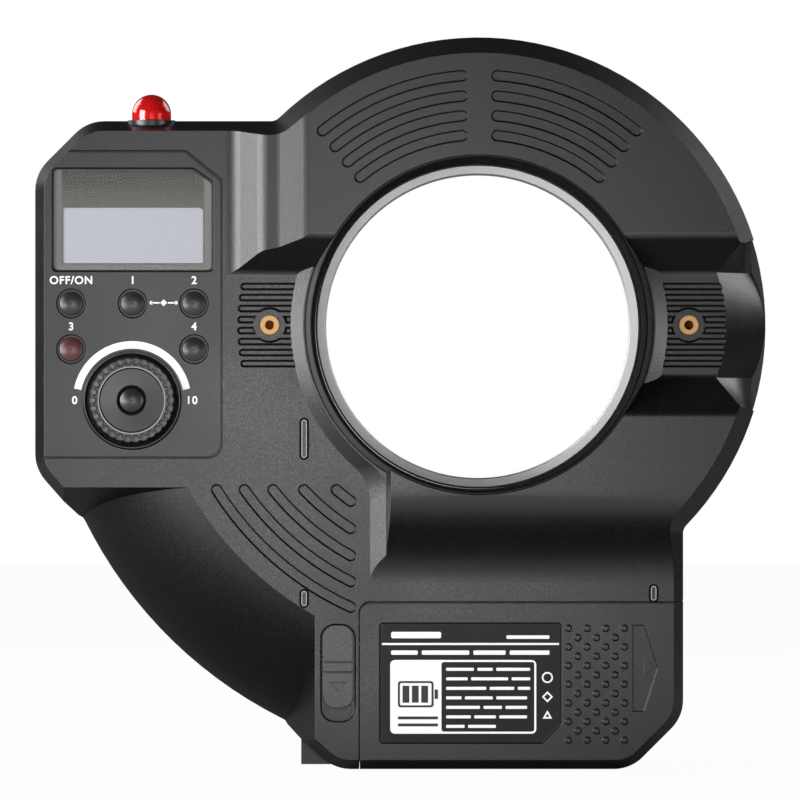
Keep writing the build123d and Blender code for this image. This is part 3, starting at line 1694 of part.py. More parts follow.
clip_start = battery_left + seam / 2 + wall + fit_gap / 2
with BuildPart() as battery_contacts:
    with BuildSketch(facing_left(clip_start + clip_length)):
        for z in socket_places:
            with Locations((socket_level, z)):
                Rectangle(blade_width, blade_thickness + fit_gap * 2 + clip_wall * 2)
    extrude(amount=clip_length)
    with BuildSketch(facing_left(clip_start + clip_length - clip_wall)):
        for z in socket_places:
            with Locations((socket_level, z)):
                Rectangle(blade_width + over, blade_thickness + fit_gap * 2)
    extrude(amount=clip_length, mode=Mode.SUBTRACT)
save(battery_contacts, "battery_contacts")

# Contact blades of the body, their heads behind the bay's end wall
wall_face = battery_left - seam - wall
with BuildPart() as body_contacts:
    with BuildSketch(facing_left(battery_left + blade_reach)):
        for z in socket_places:
            with Locations((socket_level, z)):
                Rectangle(blade_width, blade_thickness)
    extrude(amount=battery_left + blade_reach - wall_face)
    with BuildSketch(facing_left(wall_face)):
        for z in socket_places:
            with Locations((socket_level, z)):
                Rectangle(blade_width, blade_head)
    extrude(amount=blade_head)
save(body_contacts, "body_contacts")

# Latch slider with its stem, foot and tongue
slider_corner = 4.0
slider_ridge_top = -115.4
slider_ridge_bottom = -118.3
slider_ridge_height = 0.8
slider_mark_z = -123.5
slider_mark_width = 5.8
slider_mark_height = 2.9
slider_mark_depth = 0.4
slider_front = bed_rear + fit_gap / 2
slider_rear = low_level + slider_stand
stem_middle = (stem_top + stem_bottom) / 2

with BuildPart() as battery_latch:
    with BuildSketch(at_depth(slider_front)):
        with Locations((latch_x, (slider_top + slider_bottom) / 2)):
            RectangleRounded(slider_width, slider_top - slider_bottom, slider_corner)
    extrude(amount=slider_rear - slider_front)
    with BuildSketch(at_depth(slider_rear)):
        with Locations((latch_x, (slider_ridge_top + slider_ridge_bottom) / 2)):
            Rectangle(slider_width, slider_ridge_top - slider_ridge_bottom)
    extrude(amount=slider_ridge_height)
    with BuildSketch(at_depth(slider_rear)):
        Polygon(
            (latch_x - slider_mark_width / 2, slider_mark_z + slider_mark_height / 2),
            (latch_x + slider_mark_width / 2, slider_mark_z + slider_mark_height / 2),
            (latch_x, slider_mark_z - slider_mark_height / 2),
            align=None,
        )
    extrude(amount=-slider_mark_depth, mode=Mode.SUBTRACT)
    with BuildSketch(at_depth(foot_front)):
        with Locations((latch_x, stem_middle)):
            Rectangle(stem_width, stem_top - stem_bottom)
    extrude(amount=slider_front - foot_front)
    with BuildSketch(at_depth(foot_front)):
        with Locations((latch_x, stem_middle)):
            Rectangle(stem_foot_width, stem_top - stem_bottom)
    extrude(amount=stem_foot_thickness)
    with BuildSketch(at_depth(foot_front)):
        Polygon(
            (latch_x, stem_middle + tongue_width / 2),
            (tongue_reach, stem_middle + tongue_width / 2),
            (tongue_reach, stem_middle - tongue_width / 2),
            (latch_x, stem_middle - tongue_width / 2),
            align=None,
        )
    extrude(amount=tongue_thickness)
save(battery_latch, "battery_latch")

coil_height = stem_bottom - spring_seat - spring_wire * 2 - fit_gap
with BuildPart() as latch_spring:
    with BuildLine() as coil:
        Helix(
            pitch=coil_height / spring_turns,
            height=coil_height,
            radius=spring_radius - spring_wire,
            center=(latch_x, -spring_depth, spring_seat + spring_wire + fit_gap / 2),
        )
    with BuildSketch(Plane(origin=coil.line @ 0, z_dir=coil.line % 0)):
        Circle(spring_wire)
    sweep()
save(latch_spring, "latch_spring")

# Screws that hold the housings together
shank_gap = 0.02
screw_end = 44.0
ring_head_height = 1.4

with BuildPart() as housing_screws:
    with BuildSketch(at_depth(front_level)):
        with Locations(*body_screws):
            Circle(screw_head_radius)
    extrude(amount=screw_head_height)
    with BuildSketch(at_depth(front_level + screw_head_height)):
        with Locations(*body_screws):
            Circle(screw_radius - shank_gap)
    extrude(amount=screw_end - front_level - screw_head_height)
    with BuildSketch(at_depth(trough_floor - ring_head_height)):
        with Locations(*ring_screws):
            Circle(screw_head_radius)
    extrude(amount=ring_head_height)
    with BuildSketch(at_depth(trough_floor)):
        with Locations(*ring_screws):
            Circle(screw_radius - shank_gap)
    extrude(amount=screw_end - trough_floor)
save(housing_screws, "housing_screws")
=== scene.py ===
import math

import bmesh
import bpy
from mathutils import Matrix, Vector


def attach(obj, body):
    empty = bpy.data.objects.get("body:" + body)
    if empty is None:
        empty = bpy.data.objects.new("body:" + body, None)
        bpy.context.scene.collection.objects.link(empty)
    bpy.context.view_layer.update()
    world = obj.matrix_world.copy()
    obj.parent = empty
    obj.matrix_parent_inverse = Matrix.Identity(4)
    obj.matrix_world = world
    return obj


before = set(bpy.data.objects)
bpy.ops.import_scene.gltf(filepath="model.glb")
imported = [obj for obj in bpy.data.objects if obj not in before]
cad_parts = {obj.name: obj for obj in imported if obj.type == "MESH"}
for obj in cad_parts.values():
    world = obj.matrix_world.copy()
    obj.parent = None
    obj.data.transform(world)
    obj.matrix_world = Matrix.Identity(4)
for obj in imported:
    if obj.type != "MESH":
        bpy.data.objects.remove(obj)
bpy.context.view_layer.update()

# Everything is in metres, in the CAD's frame: X to the operator's right, Z up, light leaves towards +Y.
# A depth is counted rearwards from the front rim, so depth d is y = -d.
MM = 0.001

# Levels, thicknesses and places that the pieces share
LOW_LEVEL = 57 * MM
INK = 0.06 * MM
SINK = 0.02 * MM
DIAL = (-118.6 * MM, -25.7 * MM)
UPRIGHT = (math.pi / 2, 0, 0)


# Ways to make materials
UNIT = (0.0, 1.0)
EDGE_SAMPLES = 4


class Nodes:
    """A node tree, and short ways to add nodes to it."""

    def __init__(self, tree):
        self.tree = tree

    def feed(self, target, value):
        """The value is a number, a row of numbers or another node's output."""
        if isinstance(value, bpy.types.NodeSocket):
            self.tree.links.new(value, target)
        else:
            target.default_value = value

    def add(self, kind, inputs, **settings):
        """A node with its settings; inputs go by name or number."""
        node = self.tree.nodes.new(kind)
        for key, value in settings.items():
            setattr(node, key, value)
        for socket, value in inputs.items():
            self.feed(node.inputs[socket], value)
        return node

    def compute(self, operation, *values):
        return self.add("ShaderNodeMath", dict(enumerate(values)), operation=operation).outputs[0]

    def remap(self, value, to, span=UNIT, curve="LINEAR"):
        """A value within the span becomes one within the pair in to."""
        inputs = {"Value": value, "From Min": span[0], "From Max": span[1], "To Min": to[0], "To Max": to[1]}
        return self.add("ShaderNodeMapRange", inputs, interpolation_type=curve).outputs["Result"]

    def mix(self, value, first, second):
        """Between two colours, or two outputs, by value."""
        inputs = {"Factor": value}
        for socket, colour in (("A", first), ("B", second)):
            inputs[socket] = (*colour, 1) if isinstance(colour, tuple) else colour
        return self.add("ShaderNodeMix", inputs, data_type="RGBA").outputs["Result"]


class Shader(Nodes):
    """A material with a Principled shader."""

    def __init__(self, name, colour, roughness, **inputs):
        self.material = bpy.data.materials.new(name)
        self.material.use_nodes = True
        super().__init__(self.material.node_tree)
        self.shader = self.tree.nodes["Principled BSDF"]
        self.place = self.add("ShaderNodeTexCoord", {}).outputs["Object"]
        self.set("Base Color", (*colour, 1))
        self.set("Roughness", roughness)
        for key, value in inputs.items():
            self.set(key.replace("_", " "), value)

    def set(self, socket, value):
        self.feed(self.shader.inputs[socket], value)

    def noise(self, scale, detail=2.0, stretch=None, roughness=0.5):
        """Noise in the object's own space; scale is in features per metre."""
        source = self.place
        if stretch:
            source = self.add("ShaderNodeMapping", {"Scale": stretch, "Vector": source}).outputs["Vector"]
        inputs = {"Vector": source, "Scale": scale, "Detail": detail, "Roughness": roughness}
        return self.add("ShaderNodeTexNoise", inputs).outputs["Fac"]

    def axis(self, name):
        """One coordinate of the surface point, in metres."""
        return self.add("ShaderNodeSeparateXYZ", {0: self.place}).outputs[name]

    def radius(self):
        """Distance from the bore's axis, in metres."""
        flat = self.add("ShaderNodeVectorMath", {0: self.place, 1: (1, 0, 1)}, operation="MULTIPLY")
        length = self.add("ShaderNodeVectorMath", {0: flat.outputs[0]}, operation="LENGTH")
        return length.outputs["Value"]

    def colours(self, value, first, second):
        """Base colour between two colours, or two outputs, by value."""
        self.set("Base Color", self.mix(value, first, second))

    def shades(self, value, colour, factors):
        """Base colour between a darker and a lighter shade of one colour, by value."""
        darker, lighter = (tuple(min(1.0, part * factor) for part in colour) for factor in factors)
        self.colours(value, darker, lighter)

    def edges(self, radius):
        """Softened edges that catch the light."""
        bevel = self.add("ShaderNodeBevel", {"Radius": radius}, samples=EDGE_SAMPLES)
        self.set("Normal", bevel.outputs["Normal"])

    def bump(self, height, distance):
        """Relief, on top of the softened edges if there are any."""
        normal = self.shader.inputs["Normal"]
        inputs = {"Height": height, "Distance": distance}
        if normal.is_linked:
            inputs["Normal"] = normal.links[0].from_socket
        self.set("Normal", self.add("ShaderNodeBump", inputs).outputs["Normal"])


# Where most of a noise lies, by its detail
FINE = (0.35, 0.65)
BROAD = (0.3, 0.7)

# Of each kind of surface: its noises, how far shade and gloss change, and the depth of its relief
GRAIN_SHADES = (0.5, 1.5)
GRAIN_GLOSS = 0.06
GRAIN_EDGE = 0.3 * MM
PATCHES = 22
PATCH_GLOSS = 0.03
WAVES = 900
WAVE_SHADES = (0.85, 1.15)
WAVE_DEPTH = 0.006 * MM
CLOUDS = 60
CLOUD_GLOSS = (-0.03, 0.04)
LINES = 120
LINE_STRETCH = (1, 60, 1)
LINE_SHADES = (0.88, 1.06)
LINE_GLOSS = (-0.06, 0.1)
LINE_DEPTH = 0.008 * MM
INK_GRAIN = 4000
INK_SHADES = (0.93, 1.0)
INK_ROUGHNESS = 0.5
INK_DEPTH = 0.004 * MM


def around(level, steps):
    """Two levels, each one step away from this one."""
    return tuple(level + step for step in steps)


def grained(name, colour, roughness=0.33, grain=1900, depth=0.024 * MM):
    """Moulded plastic with a spark-eroded grain: tiny pits, and slow changes of shade and gloss."""
    look = Shader(name, colour, roughness)
    pits = look.noise(grain, detail=3.0, roughness=0.6)
    look.shades(look.remap(pits, UNIT, FINE), colour, GRAIN_SHADES)
    slow = look.remap(look.noise(PATCHES), (-PATCH_GLOSS, PATCH_GLOSS), BROAD)
    gloss = look.remap(pits, around(roughness, (-GRAIN_GLOSS, GRAIN_GLOSS)), FINE)
    look.set("Roughness", look.compute("ADD", slow, gloss))
    look.edges(GRAIN_EDGE)
    look.bump(pits, depth)
    return look.material


def satin(name, colour, roughness=0.3, edge=0.2 * MM, **inputs):
    """Smoother moulding with faint waviness."""
    look = Shader(name, colour, roughness, **inputs)
    waves = look.noise(WAVES)
    look.shades(waves, colour, WAVE_SHADES)
    look.set("Roughness", look.remap(look.noise(CLOUDS), around(roughness, CLOUD_GLOSS), BROAD))
    look.edges(edge)
    look.bump(waves, WAVE_DEPTH)
    return look.material


def turned(name, colour, roughness):
    """Machined metal with fine lines round the Y axis."""
    look = Shader(name, colour, roughness, Metallic=1.0)
    lines = look.noise(LINES, detail=4.0, stretch=LINE_STRETCH)
    look.shades(lines, colour, LINE_SHADES)
    look.set("Roughness", look.remap(lines, around(roughness, LINE_GLOSS)))
    look.bump(lines, LINE_DEPTH)
    return look.material


def printed(name, colour, **inputs):
    """Screen-printed ink, slightly uneven; the same look also carries the painted shade and highlights."""
    look = Shader(name, colour, INK_ROUGHNESS, **inputs)
    grain = look.noise(INK_GRAIN)
    look.shades(look.remap(grain, UNIT, BROAD), colour, INK_SHADES)
    look.bump(grain, INK_DEPTH)
    return look.material


# Materials of the parts, by name, colour and roughness
charcoal = (0.0038, 0.0038, 0.0044)
housing = grained("housing_plastic", charcoal)
panel = grained("panel_plastic", (0.006, 0.006, 0.0068), 0.35, grain=2300)
battery = grained("battery_plastic", (0.006, 0.006, 0.0066), 0.34, grain=1500)
bezel = satin("bezel_plastic", (0.01, 0.01, 0.0105), 0.35)
key = satin("key_plastic", (0.014, 0.014, 0.015))
red_key = satin("red_key_plastic", (0.07, 0.014, 0.014))
dial_plastic = satin("dial_plastic", (0.007, 0.007, 0.0075), edge=0.12 * MM)
# Painted sheen: the latch's plastic is lighter than the battery's, for the sheen on the slider
latch = grained("latch_plastic", (0.02, 0.02, 0.0212), 0.3, grain=2200, depth=0.02 * MM)
label_film = satin("label_film", (0.008, 0.008, 0.0085), 0.5, Specular_IOR_Level=0.25)
aluminium = turned("bright_aluminium", (0.7, 0.7, 0.69), 0.55)
silver_trim = turned("silver_trim", (0.75, 0.76, 0.77), 0.25)
brass = turned("insert_brass", (0.46, 0.28, 0.13), 0.5)
# Painted shade: dark red-brown brass for the floors down the inserts' holes
hole_shade_brass = turned("hole_shade_brass", (0.25, 0.06, 0.02), 0.5)
contact_gold = turned("contact_gold", (0.85, 0.68, 0.35), 0.2)
screw_steel = turned("screw_steel", (0.45, 0.45, 0.46), 0.3)
spring_steel = turned("spring_steel", (0.6, 0.6, 0.62), 0.3)
foil = turned("reflector_foil", (0.86, 0.86, 0.87), 0.15)
white_ink = printed("white_ink", (0.9, 0.9, 0.9))
# Dark ink prints the battery's sign; the same dark colour is also painted shade on the latch's lines and in
# the screws' cross recesses
dark_ink_and_shade = printed("dark_ink_and_shade", (0.012, 0.012, 0.012))
rib_shade = printed("rib_shade", (0.0015, 0.0015, 0.0015), Specular_IOR_Level=0.05)
# Painted highlight: light grey lines along the ribs' crests and round the rim of the dial's dish
painted_highlight = printed("painted_highlight", (0.3, 0.3, 0.3))
# Painted highlight: lighter grey on the floors of the dial's flutes
flute_highlight = printed("flute_highlight", (0.12, 0.12, 0.12))
board = satin("circuit_board", (0.03, 0.12, 0.05), 0.35)
core = satin("ferrite", (0.09, 0.085, 0.08), 0.5)
sleeve = satin("capacitor_sleeve", (0.02, 0.02, 0.04), 0.25)
cell_wrap = satin("cell_wrap", (0.03, 0.1, 0.28))
led_lens = satin("led_lens", (0.9, 0.82, 0.4), 0.2)

# Barrel: radii between which the bore becomes the lip
LIP_SPAN = (57.2 * MM, 57.9 * MM)
BORE_BLACK = (0.0012, 0.0012, 0.0012)
# Painted highlight: the lip's grey is far lighter than the housing's charcoal
LIP_HIGHLIGHT_GREY = (0.075, 0.076, 0.073)
BARREL_ROUGHNESS = (0.95, 0.4)
BARREL_GRAIN = 1700
BARREL_SHADES = (0.8, 1.2)
BARREL_DEPTH = 0.03 * MM


def make_barrel():
    """Matt black inside the bore, moulded plastic on the lip, painted a lighter grey there as a painted
    highlight.
    """
    look = Shader("barrel_plastic", charcoal, roughness=0.4, Specular_IOR_Level=0.12)
    share = look.remap(look.radius(), UNIT, LIP_SPAN)
    grain = look.noise(BARREL_GRAIN, detail=3.0)
    look.colours(look.compute("MULTIPLY", share, look.remap(grain, BARREL_SHADES)), BORE_BLACK, LIP_HIGHLIGHT_GREY)
    look.set("Roughness", look.remap(share, BARREL_ROUGHNESS))
    look.edges(GRAIN_EDGE)
    look.bump(grain, BARREL_DEPTH)
    return look.material


def make_display():
    """Unlit reflective display: pale, faintly mottled."""
    look = Shader("display", (0.82, 0.84, 0.97), roughness=0.35)
    look.colours(look.noise(scale=700, detail=3.0), (0.8, 0.82, 0.97), (0.86, 0.88, 1.0))
    look.bump(look.noise(scale=2500), distance=0.002 * MM)
    return look.material


# Faint rules across the window and its print
RULE_STRETCH = (0.02, 1, 1)


def make_window():
    """Clear hard-coated window."""
    look = Shader("display_window", (0.03, 0.03, 0.03), roughness=0.12, Alpha=0.22)
    rules = look.noise(scale=500, stretch=RULE_STRETCH)
    look.colours(rules, (0.03, 0.03, 0.028), (0.05, 0.05, 0.046))
    look.set("Roughness", look.remap(rules, to=(0.08, 0.2)))
    return look.material


# Print behind the window: heights and sides between which its colours change
MASK_DARKENS = (41 * MM, 52 * MM)
MASK_LEFT = (-143.4 * MM, -142.2 * MM)
MASK_RIGHT = (-94.6 * MM, -93.4 * MM)
MASK_FOOT = (20 * MM, 21.5 * MM)
# Painted reflection: the lighter colour along the print's left, right and bottom edges
MASK_EDGE_REFLECTION = (0.18, 0.18, 0.172)
MASK_OLIVE = (0.1, 0.1, 0.075)
MASK_DARK = (0.03, 0.031, 0.031)
MASK_RULES = (-0.2, 0.2)


def make_mask():
    """Print behind the window: olive grey beside the display, darker towards the top, with faint rules;
    lighter along its left, right and bottom edges, a painted reflection.
    """
    look = Shader("window_print", (0.12, 0.12, 0.11), roughness=0.5)
    rules = look.remap(look.noise(scale=900, stretch=RULE_STRETCH), MASK_RULES, BROAD)
    shade = look.compute("ADD", look.remap(look.axis("Z"), UNIT, MASK_DARKENS), rules)
    left = look.remap(look.axis("X"), UNIT, MASK_LEFT)
    right = look.remap(look.axis("X"), UNIT[::-1], MASK_RIGHT)
    foot = look.remap(look.axis("Z"), UNIT, MASK_FOOT)
    middle = look.compute("MULTIPLY", look.compute("MULTIPLY", left, right), foot)
    look.colours(middle, MASK_EDGE_REFLECTION, look.mix(shade, MASK_OLIVE, MASK_DARK))
    return look.material


def make_dome():
    """Clear red moulding."""
    look = Shader("red_dome", (0.75, 0.01, 0.01), 0.12, Coat_Weight=0.6, Coat_Roughness=0.06)
    look.set("Transmission Weight", 0.45)
    look.colours(look.noise(scale=150), (0.62, 0.006, 0.008), (0.8, 0.012, 0.012))
    return look.material


def make_tube_glass():
    """Clear drawn glass, slightly wavy."""
    colour = (0.95, 0.96, 0.97)
    look = Shader("tube_glass", colour, roughness=0.05, Transmission_Weight=0.9)
    look.shades(look.noise(scale=300), colour, factors=(0.97, 1.0))
    look.bump(look.noise(scale=1200), distance=0.01 * MM)
    return look.material


def make_diffuser():
    """Pressed front glass with fine concentric prisms."""
    look = Shader("front_diffuser", (0.93, 0.94, 0.95), roughness=0.25, Transmission_Weight=0.9)
    waves = {"Vector": look.place, "Scale": 130}
    rings = look.add("ShaderNodeTexWave", waves, wave_type="RINGS", rings_direction="Y")
    look.colours(look.noise(scale=300), (0.9, 0.91, 0.92), (0.94, 0.95, 0.96))
    look.bump(rings.outputs["Fac"], distance=0.15 * MM)
    return look.material


barrel = make_barrel()
display = make_display()
window = make_window()
window_print = make_mask()
red_dome = make_dome()
diffuser = make_diffuser()
tube_glass = make_tube_glass()

node_materials = {
    "rear_housing": housing,
    "front_housing": housing,
    "bore_barrel": barrel,
    "thread_ring": aluminium,
    "front_bezel": bezel,
    "inner_bezel": bezel,
    "front_trim": silver_trim,
    "front_glass": diffuser,
    "reflector": foil,
    "flash_tube": tube_glass,
    "tube_clips": spring_steel,
    "led_board": board,
    "modelling_leds": led_lens,
    "control_panel": panel,
    "lcd_window": window,
    "lcd_module": display,
    "panel_board": board,
    "key_switches": core,
    "power_button": key,
    "mode_button": key,
    "light_button": key,
    "test_button": red_key,
    "sound_button": key,
    "dial_bezel": dial_plastic,
    "dial": dial_plastic,
    "set_button": key,
    "encoder": core,
    "power_board": board,
    "charge_transformer": core,
    "trigger_coil": core,
    "buzzer": core,
    "capacitors": sleeve,
    "sensor_dome": red_dome,
    "light_sensor": board,
    "sync_jack": key,
    "control_port": screw_steel,
    "brass_inserts": brass,
    "battery_latch": latch,
    "latch_spring": spring_steel,
    "battery_case": battery,
    "battery_label": label_film,
    "battery_cells": cell_wrap,
    "battery_contacts": contact_gold,
    "body_contacts": contact_gold,
    "housing_screws": screw_steel,
}
for node, material in node_materials.items():
    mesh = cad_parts[node].data
    mesh.materials.clear()
    mesh.materials.append(material)


# Outlines, as rows of (x, z) points; a box is left, right, bottom and top


def arc_points(centre, radius, start, end, count):
    """Points on an arc; angles in degrees, anticlockwise from +X."""
    points = []
    for i in range(count + 1):
        angle = math.radians(start + (end - start) * i / count)
        points.append((centre[0] + radius * math.cos(angle), centre[1] + radius * math.sin(angle)))
    return points


def band(centre, inner, outer, start, end, count=48):
    """Outline of a ring sector."""
    return arc_points(centre, outer, start, end, count) + arc_points(centre, inner, end, start, count)


def disc(centre, radius, count=24, start=0):
    """Circle, or a regular polygon whose first corner is at the angle start."""
    return arc_points(centre, radius, start, start + 360 - 360 / count, count - 1)


def rectangle(left, right, bottom, top):
    return [(left, bottom), (right, bottom), (right, top), (left, top)]


def inset(box, step):
    left, right, bottom, top = box
    return left + step, right - step, bottom + step, top - step


def rounded(left, right, bottom, top, radius, cut_x=0.0, cut_z=0.0, count=5):
    """Rectangle with round corners; cut_x and cut_z take its top right corner off along a slant."""
    corners = [(left, bottom), (right, bottom), (right, top - cut_z), (right - cut_x, top), (left, top)]
    if not cut_x:
        corners.pop(3)
    points = []
    for i, corner in enumerate(corners):
        before = Vector(corners[i - 1]) - Vector(corner)
        after = Vector(corners[(i + 1) % len(corners)]) - Vector(corner)
        before.normalize()
        after.normalize()
        half = before.angle(after) / 2
        middle = Vector(corner) + (before + after).normalized() * radius / math.sin(half)
        first = Vector(corner) + before * radius / math.tan(half) - middle
        last = Vector(corner) + after * radius / math.tan(half) - middle
        for step in range(count + 1):
            points.append(tuple(middle + first.slerp(last, step / count).normalized() * radius))
    return points


def bar(left, right, middle, half):
    """Low bar with softened corners, by its middle height and half height."""
    return rounded(left, right, middle - half, middle + half, half / 2, count=3)


# A round end's radius stays this much under half the width
ROUND_END_GAP = 0.01 * MM


def round_ended(box):
    """Upright slot with round ends."""
    return rounded(*box, (box[1] - box[0]) / 2 - ROUND_END_GAP)


# Pieces


def add_prism(mesh, outline, depth, height):
    """Closed prism on an outline, from depth rearwards by height."""
    front = [mesh.verts.new((x, -depth, z)) for x, z in outline]
    rear = [mesh.verts.new((x, -depth - height, z)) for x, z in outline]
    mesh.faces.new(front)
    mesh.faces.new(rear[::-1])
    for i in range(len(outline)):
        j = (i + 1) % len(outline)
        mesh.faces.new((front[i], rear[i], rear[j], front[j]))


def add_frame(mesh, outer, inner, depth, height):
    """Closed frame between two outlines with the same number of points."""
    loops = []
    for outline in (outer, inner):
        for level in (-depth, -depth - height):
            loops.append([mesh.verts.new((x, level, z)) for x, z in outline])
    outer_front, outer_rear, inner_front, inner_rear = loops
    for i in range(len(outer)):
        j = (i + 1) % len(outer)
        mesh.faces.new((outer_front[i], outer_rear[i], outer_rear[j], outer_front[j]))
        mesh.faces.new((inner_front[i], inner_front[j], inner_rear[j], inner_rear[i]))
        mesh.faces.new((outer_front[i], outer_front[j], inner_front[j], inner_front[i]))
        mesh.faces.new((outer_rear[i], inner_rear[i], inner_rear[j], outer_rear[j]))


def carry(piece, body):
    """Puts the piece into the scene and lets it ride on its body."""
    bpy.context.scene.collection.objects.link(piece)
    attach(piece, body)


def finish_piece(mesh, name, material, body, smooth=False):
    """Makes a piece of the mesh and gives it its material."""
    data = bpy.data.meshes.new(name)
    bmesh.ops.recalc_face_normals(mesh, faces=mesh.faces)
    mesh.to_mesh(data)
    mesh.free()
    data.materials.append(material)
    if smooth:
        data.shade_smooth()
    carry(bpy.data.objects.new(name, data), body)


def flat_print(name, outlines, depth, material, body, frames=(), height=INK):
    """Frames and prisms on a face at that depth, sunk a little into it."""
    mesh = bmesh.new()
    for outer, inner in frames:
        add_frame(mesh, outer, inner, depth - SINK, height + SINK)
    for outline in outlines:
        add_prism(mesh, outline, depth - SINK, height + SINK)
    finish_piece(mesh, name, material, body)


# Words on the control panel, centred at x and z: the height of their capitals, that height as a share of
# the font's size, how far a stroke's sides grow as a share of the height, and the spacing
CAPITALS = 2.7 * MM
CAPITAL_SHARE = 0.72
STROKE_GROWTH = 0.03
SPACING = 1.12
COLUMNS = (-139.4 * MM, -118.4 * MM, -97.4 * MM)
UPPER_WORDS = 15.2 * MM
LOWER_WORDS = -0.6 * MM
DIAL_WORDS = DIAL[1] - 0.1 * MM
PANEL_WORDS = (
    ("print_power", "OFF/ON", COLUMNS[0], UPPER_WORDS),
    ("print_one", "1", COLUMNS[1], UPPER_WORDS),
    ("print_two", "2", COLUMNS[2], UPPER_WORDS),
    ("print_three", "3", COLUMNS[0], LOWER_WORDS),
    ("print_four", "4", COLUMNS[2], LOWER_WORDS),
    ("print_low", "0", DIAL[0] - 19.6 * MM, DIAL_WORDS),
    ("print_high", "10", DIAL[0] + 20.4 * MM, DIAL_WORDS),
)


def print_words():
    for name, words, x, z in PANEL_WORDS:
        curve = bpy.data.curves.new(name, "FONT")
        curve.body = words
        curve.size = CAPITALS / CAPITAL_SHARE
        curve.align_x = "CENTER"
        curve.align_y = "CENTER"
        curve.offset = CAPITALS * STROKE_GROWTH
        curve.extrude = INK / 2
        curve.space_character = SPACING
        curve.materials.append(white_ink)
        piece = bpy.data.objects.new(name, curve)
        piece.location = (x, -LOW_LEVEL - INK / 2, z)
        piece.rotation_euler = UPRIGHT
        carry(piece, "body")


# White band over the dial, and the link mark between two keys: dot, line, diamond, line, dot
DIAL_BAND = (17.7 * MM, 20.2 * MM)
DIAL_BAND_ENDS = (11.5, 168.5)
LINK = (-107.8 * MM, 7.6 * MM)
LINK_REACH = 4.2 * MM
LINK_DOT = 0.62 * MM
LINK_LINE = 0.24 * MM
DIAMOND = 1.15 * MM


def print_marks():
    dial_band = band(DIAL, *DIAL_BAND, *DIAL_BAND_ENDS)
    flat_print("print_dial_arc", [dial_band], LOW_LEVEL, white_ink, "body")
    marks = [disc(LINK, DIAMOND, count=4)]
    for side in (-1, 1):
        far = LINK[0] + side * LINK_REACH
        near = LINK[0] + side * (DIAMOND + LINK_LINE)
        marks.append(disc((far, LINK[1]), LINK_DOT))
        marks.append(rectangle(*sorted((far, near)), LINK[1] - LINK_LINE, LINK[1] + LINK_LINE))
    flat_print("print_link", marks, LOW_LEVEL, white_ink, "body")


# Print behind the window, round the display: box, corner radius and slanted corner of its two outlines
PRINT_DEPTH = 55.55 * MM
PRINT_OUTER = (-145.3 * MM, -91.5 * MM, 18.9 * MM, 53.1 * MM, 1.5 * MM, 6.8 * MM, 4.7 * MM)
PRINT_INNER = (-142.3 * MM, -94.4 * MM, 21.2 * MM, 40.1 * MM, 0.5 * MM, 0.9 * MM, 0.9 * MM)
PRINT_STEPS = 6


def print_window():
    mesh = bmesh.new()
    outlines = [rounded(*sizes, PRINT_STEPS) for sizes in (PRINT_OUTER, PRINT_INNER)]
    add_frame(mesh, *outlines, PRINT_DEPTH, INK)
    finish_piece(mesh, "window_print", window_print, "body")


# Printing on the battery label: white block with an open part, rule, bars, rows of bars, and three marks
LABEL_FACE = 56.9 * MM
BLOCK = (-30.4 * MM, 19.5 * MM, -139.6 * MM, -114.4 * MM)
BLOCK_CORNER = 1.6 * MM
BLOCK_SPLIT = -12.9 * MM
BLOCK_LINE = 0.7 * MM
OPEN_CORNER = 0.8 * MM
LABEL_RULE = (-33.2 * MM, 27.3 * MM, -109.3 * MM, -108.6 * MM)
# Left, right, middle height and half height of each bar
BARS = (
    (-30.1 * MM, -13.0 * MM, -105.9 * MM, 1.1 * MM),
    (9.3 * MM, 24.0 * MM, -106.6 * MM, 0.6 * MM),
    (-30.1 * MM, -21.0 * MM, -111.9 * MM, 0.75 * MM),
    (-19.6 * MM, -3.4 * MM, -111.9 * MM, 0.75 * MM),
    (-2.0 * MM, 9.0 * MM, -111.9 * MM, 0.75 * MM),
    (10.4 * MM, 24.0 * MM, -111.9 * MM, 0.75 * MM),
)
ROW_LEFT = -11.3 * MM
ROW_RIGHT = 17.4 * MM
ROW_TOP = -117.6 * MM
ROW_STEP = 3.25 * MM
ROW_HALF = 0.52 * MM
ROW_GAP = 1.2 * MM
# Lengths of the bars in each row, in units; a full row has this many
ROW_UNITS = 25
ROWS = ((9, 5, 11), (7, 12, 6), (13, 8, 4), (5, 9, 10), (11, 6, 7), (8, 7, 9), (6, 9))
# Height and number of corners of a ring, a diamond and a triangle
MARKS = ((-120.4 * MM, 28), (-127.0 * MM, 4), (-133.5 * MM, 3))
MARKS_X = 23.3 * MM
MARK_RADIUS = 1.9 * MM
MARK_LINE = 0.55 * MM
MARK_START = 90


def row_bars():
    """Bars in rows, as long and short as words."""
    unit = (ROW_RIGHT - ROW_LEFT - ROW_GAP * 2) / ROW_UNITS
    bars = []
    for row, lengths in enumerate(ROWS):
        left = ROW_LEFT
        for length in lengths:
            right = min(left + length * unit, ROW_RIGHT)
            bars.append((left, right, ROW_TOP - ROW_STEP * row, ROW_HALF))
            left = right + ROW_GAP
    return bars


def print_label():
    opening = rounded(BLOCK_SPLIT, *inset(BLOCK, BLOCK_LINE)[1:], OPEN_CORNER)
    frames = [(rounded(*BLOCK, BLOCK_CORNER), opening)]
    for z, corners in MARKS:
        radii = (MARK_RADIUS, MARK_RADIUS - MARK_LINE / math.cos(math.pi / corners))
        frames.append([disc((MARKS_X, z), radius, corners, MARK_START) for radius in radii])
    outlines = [rectangle(*LABEL_RULE)] + [bar(*sizes) for sizes in (*BARS, *row_bars())]
    flat_print("label_print", outlines, LABEL_FACE, white_ink, "battery", frames)


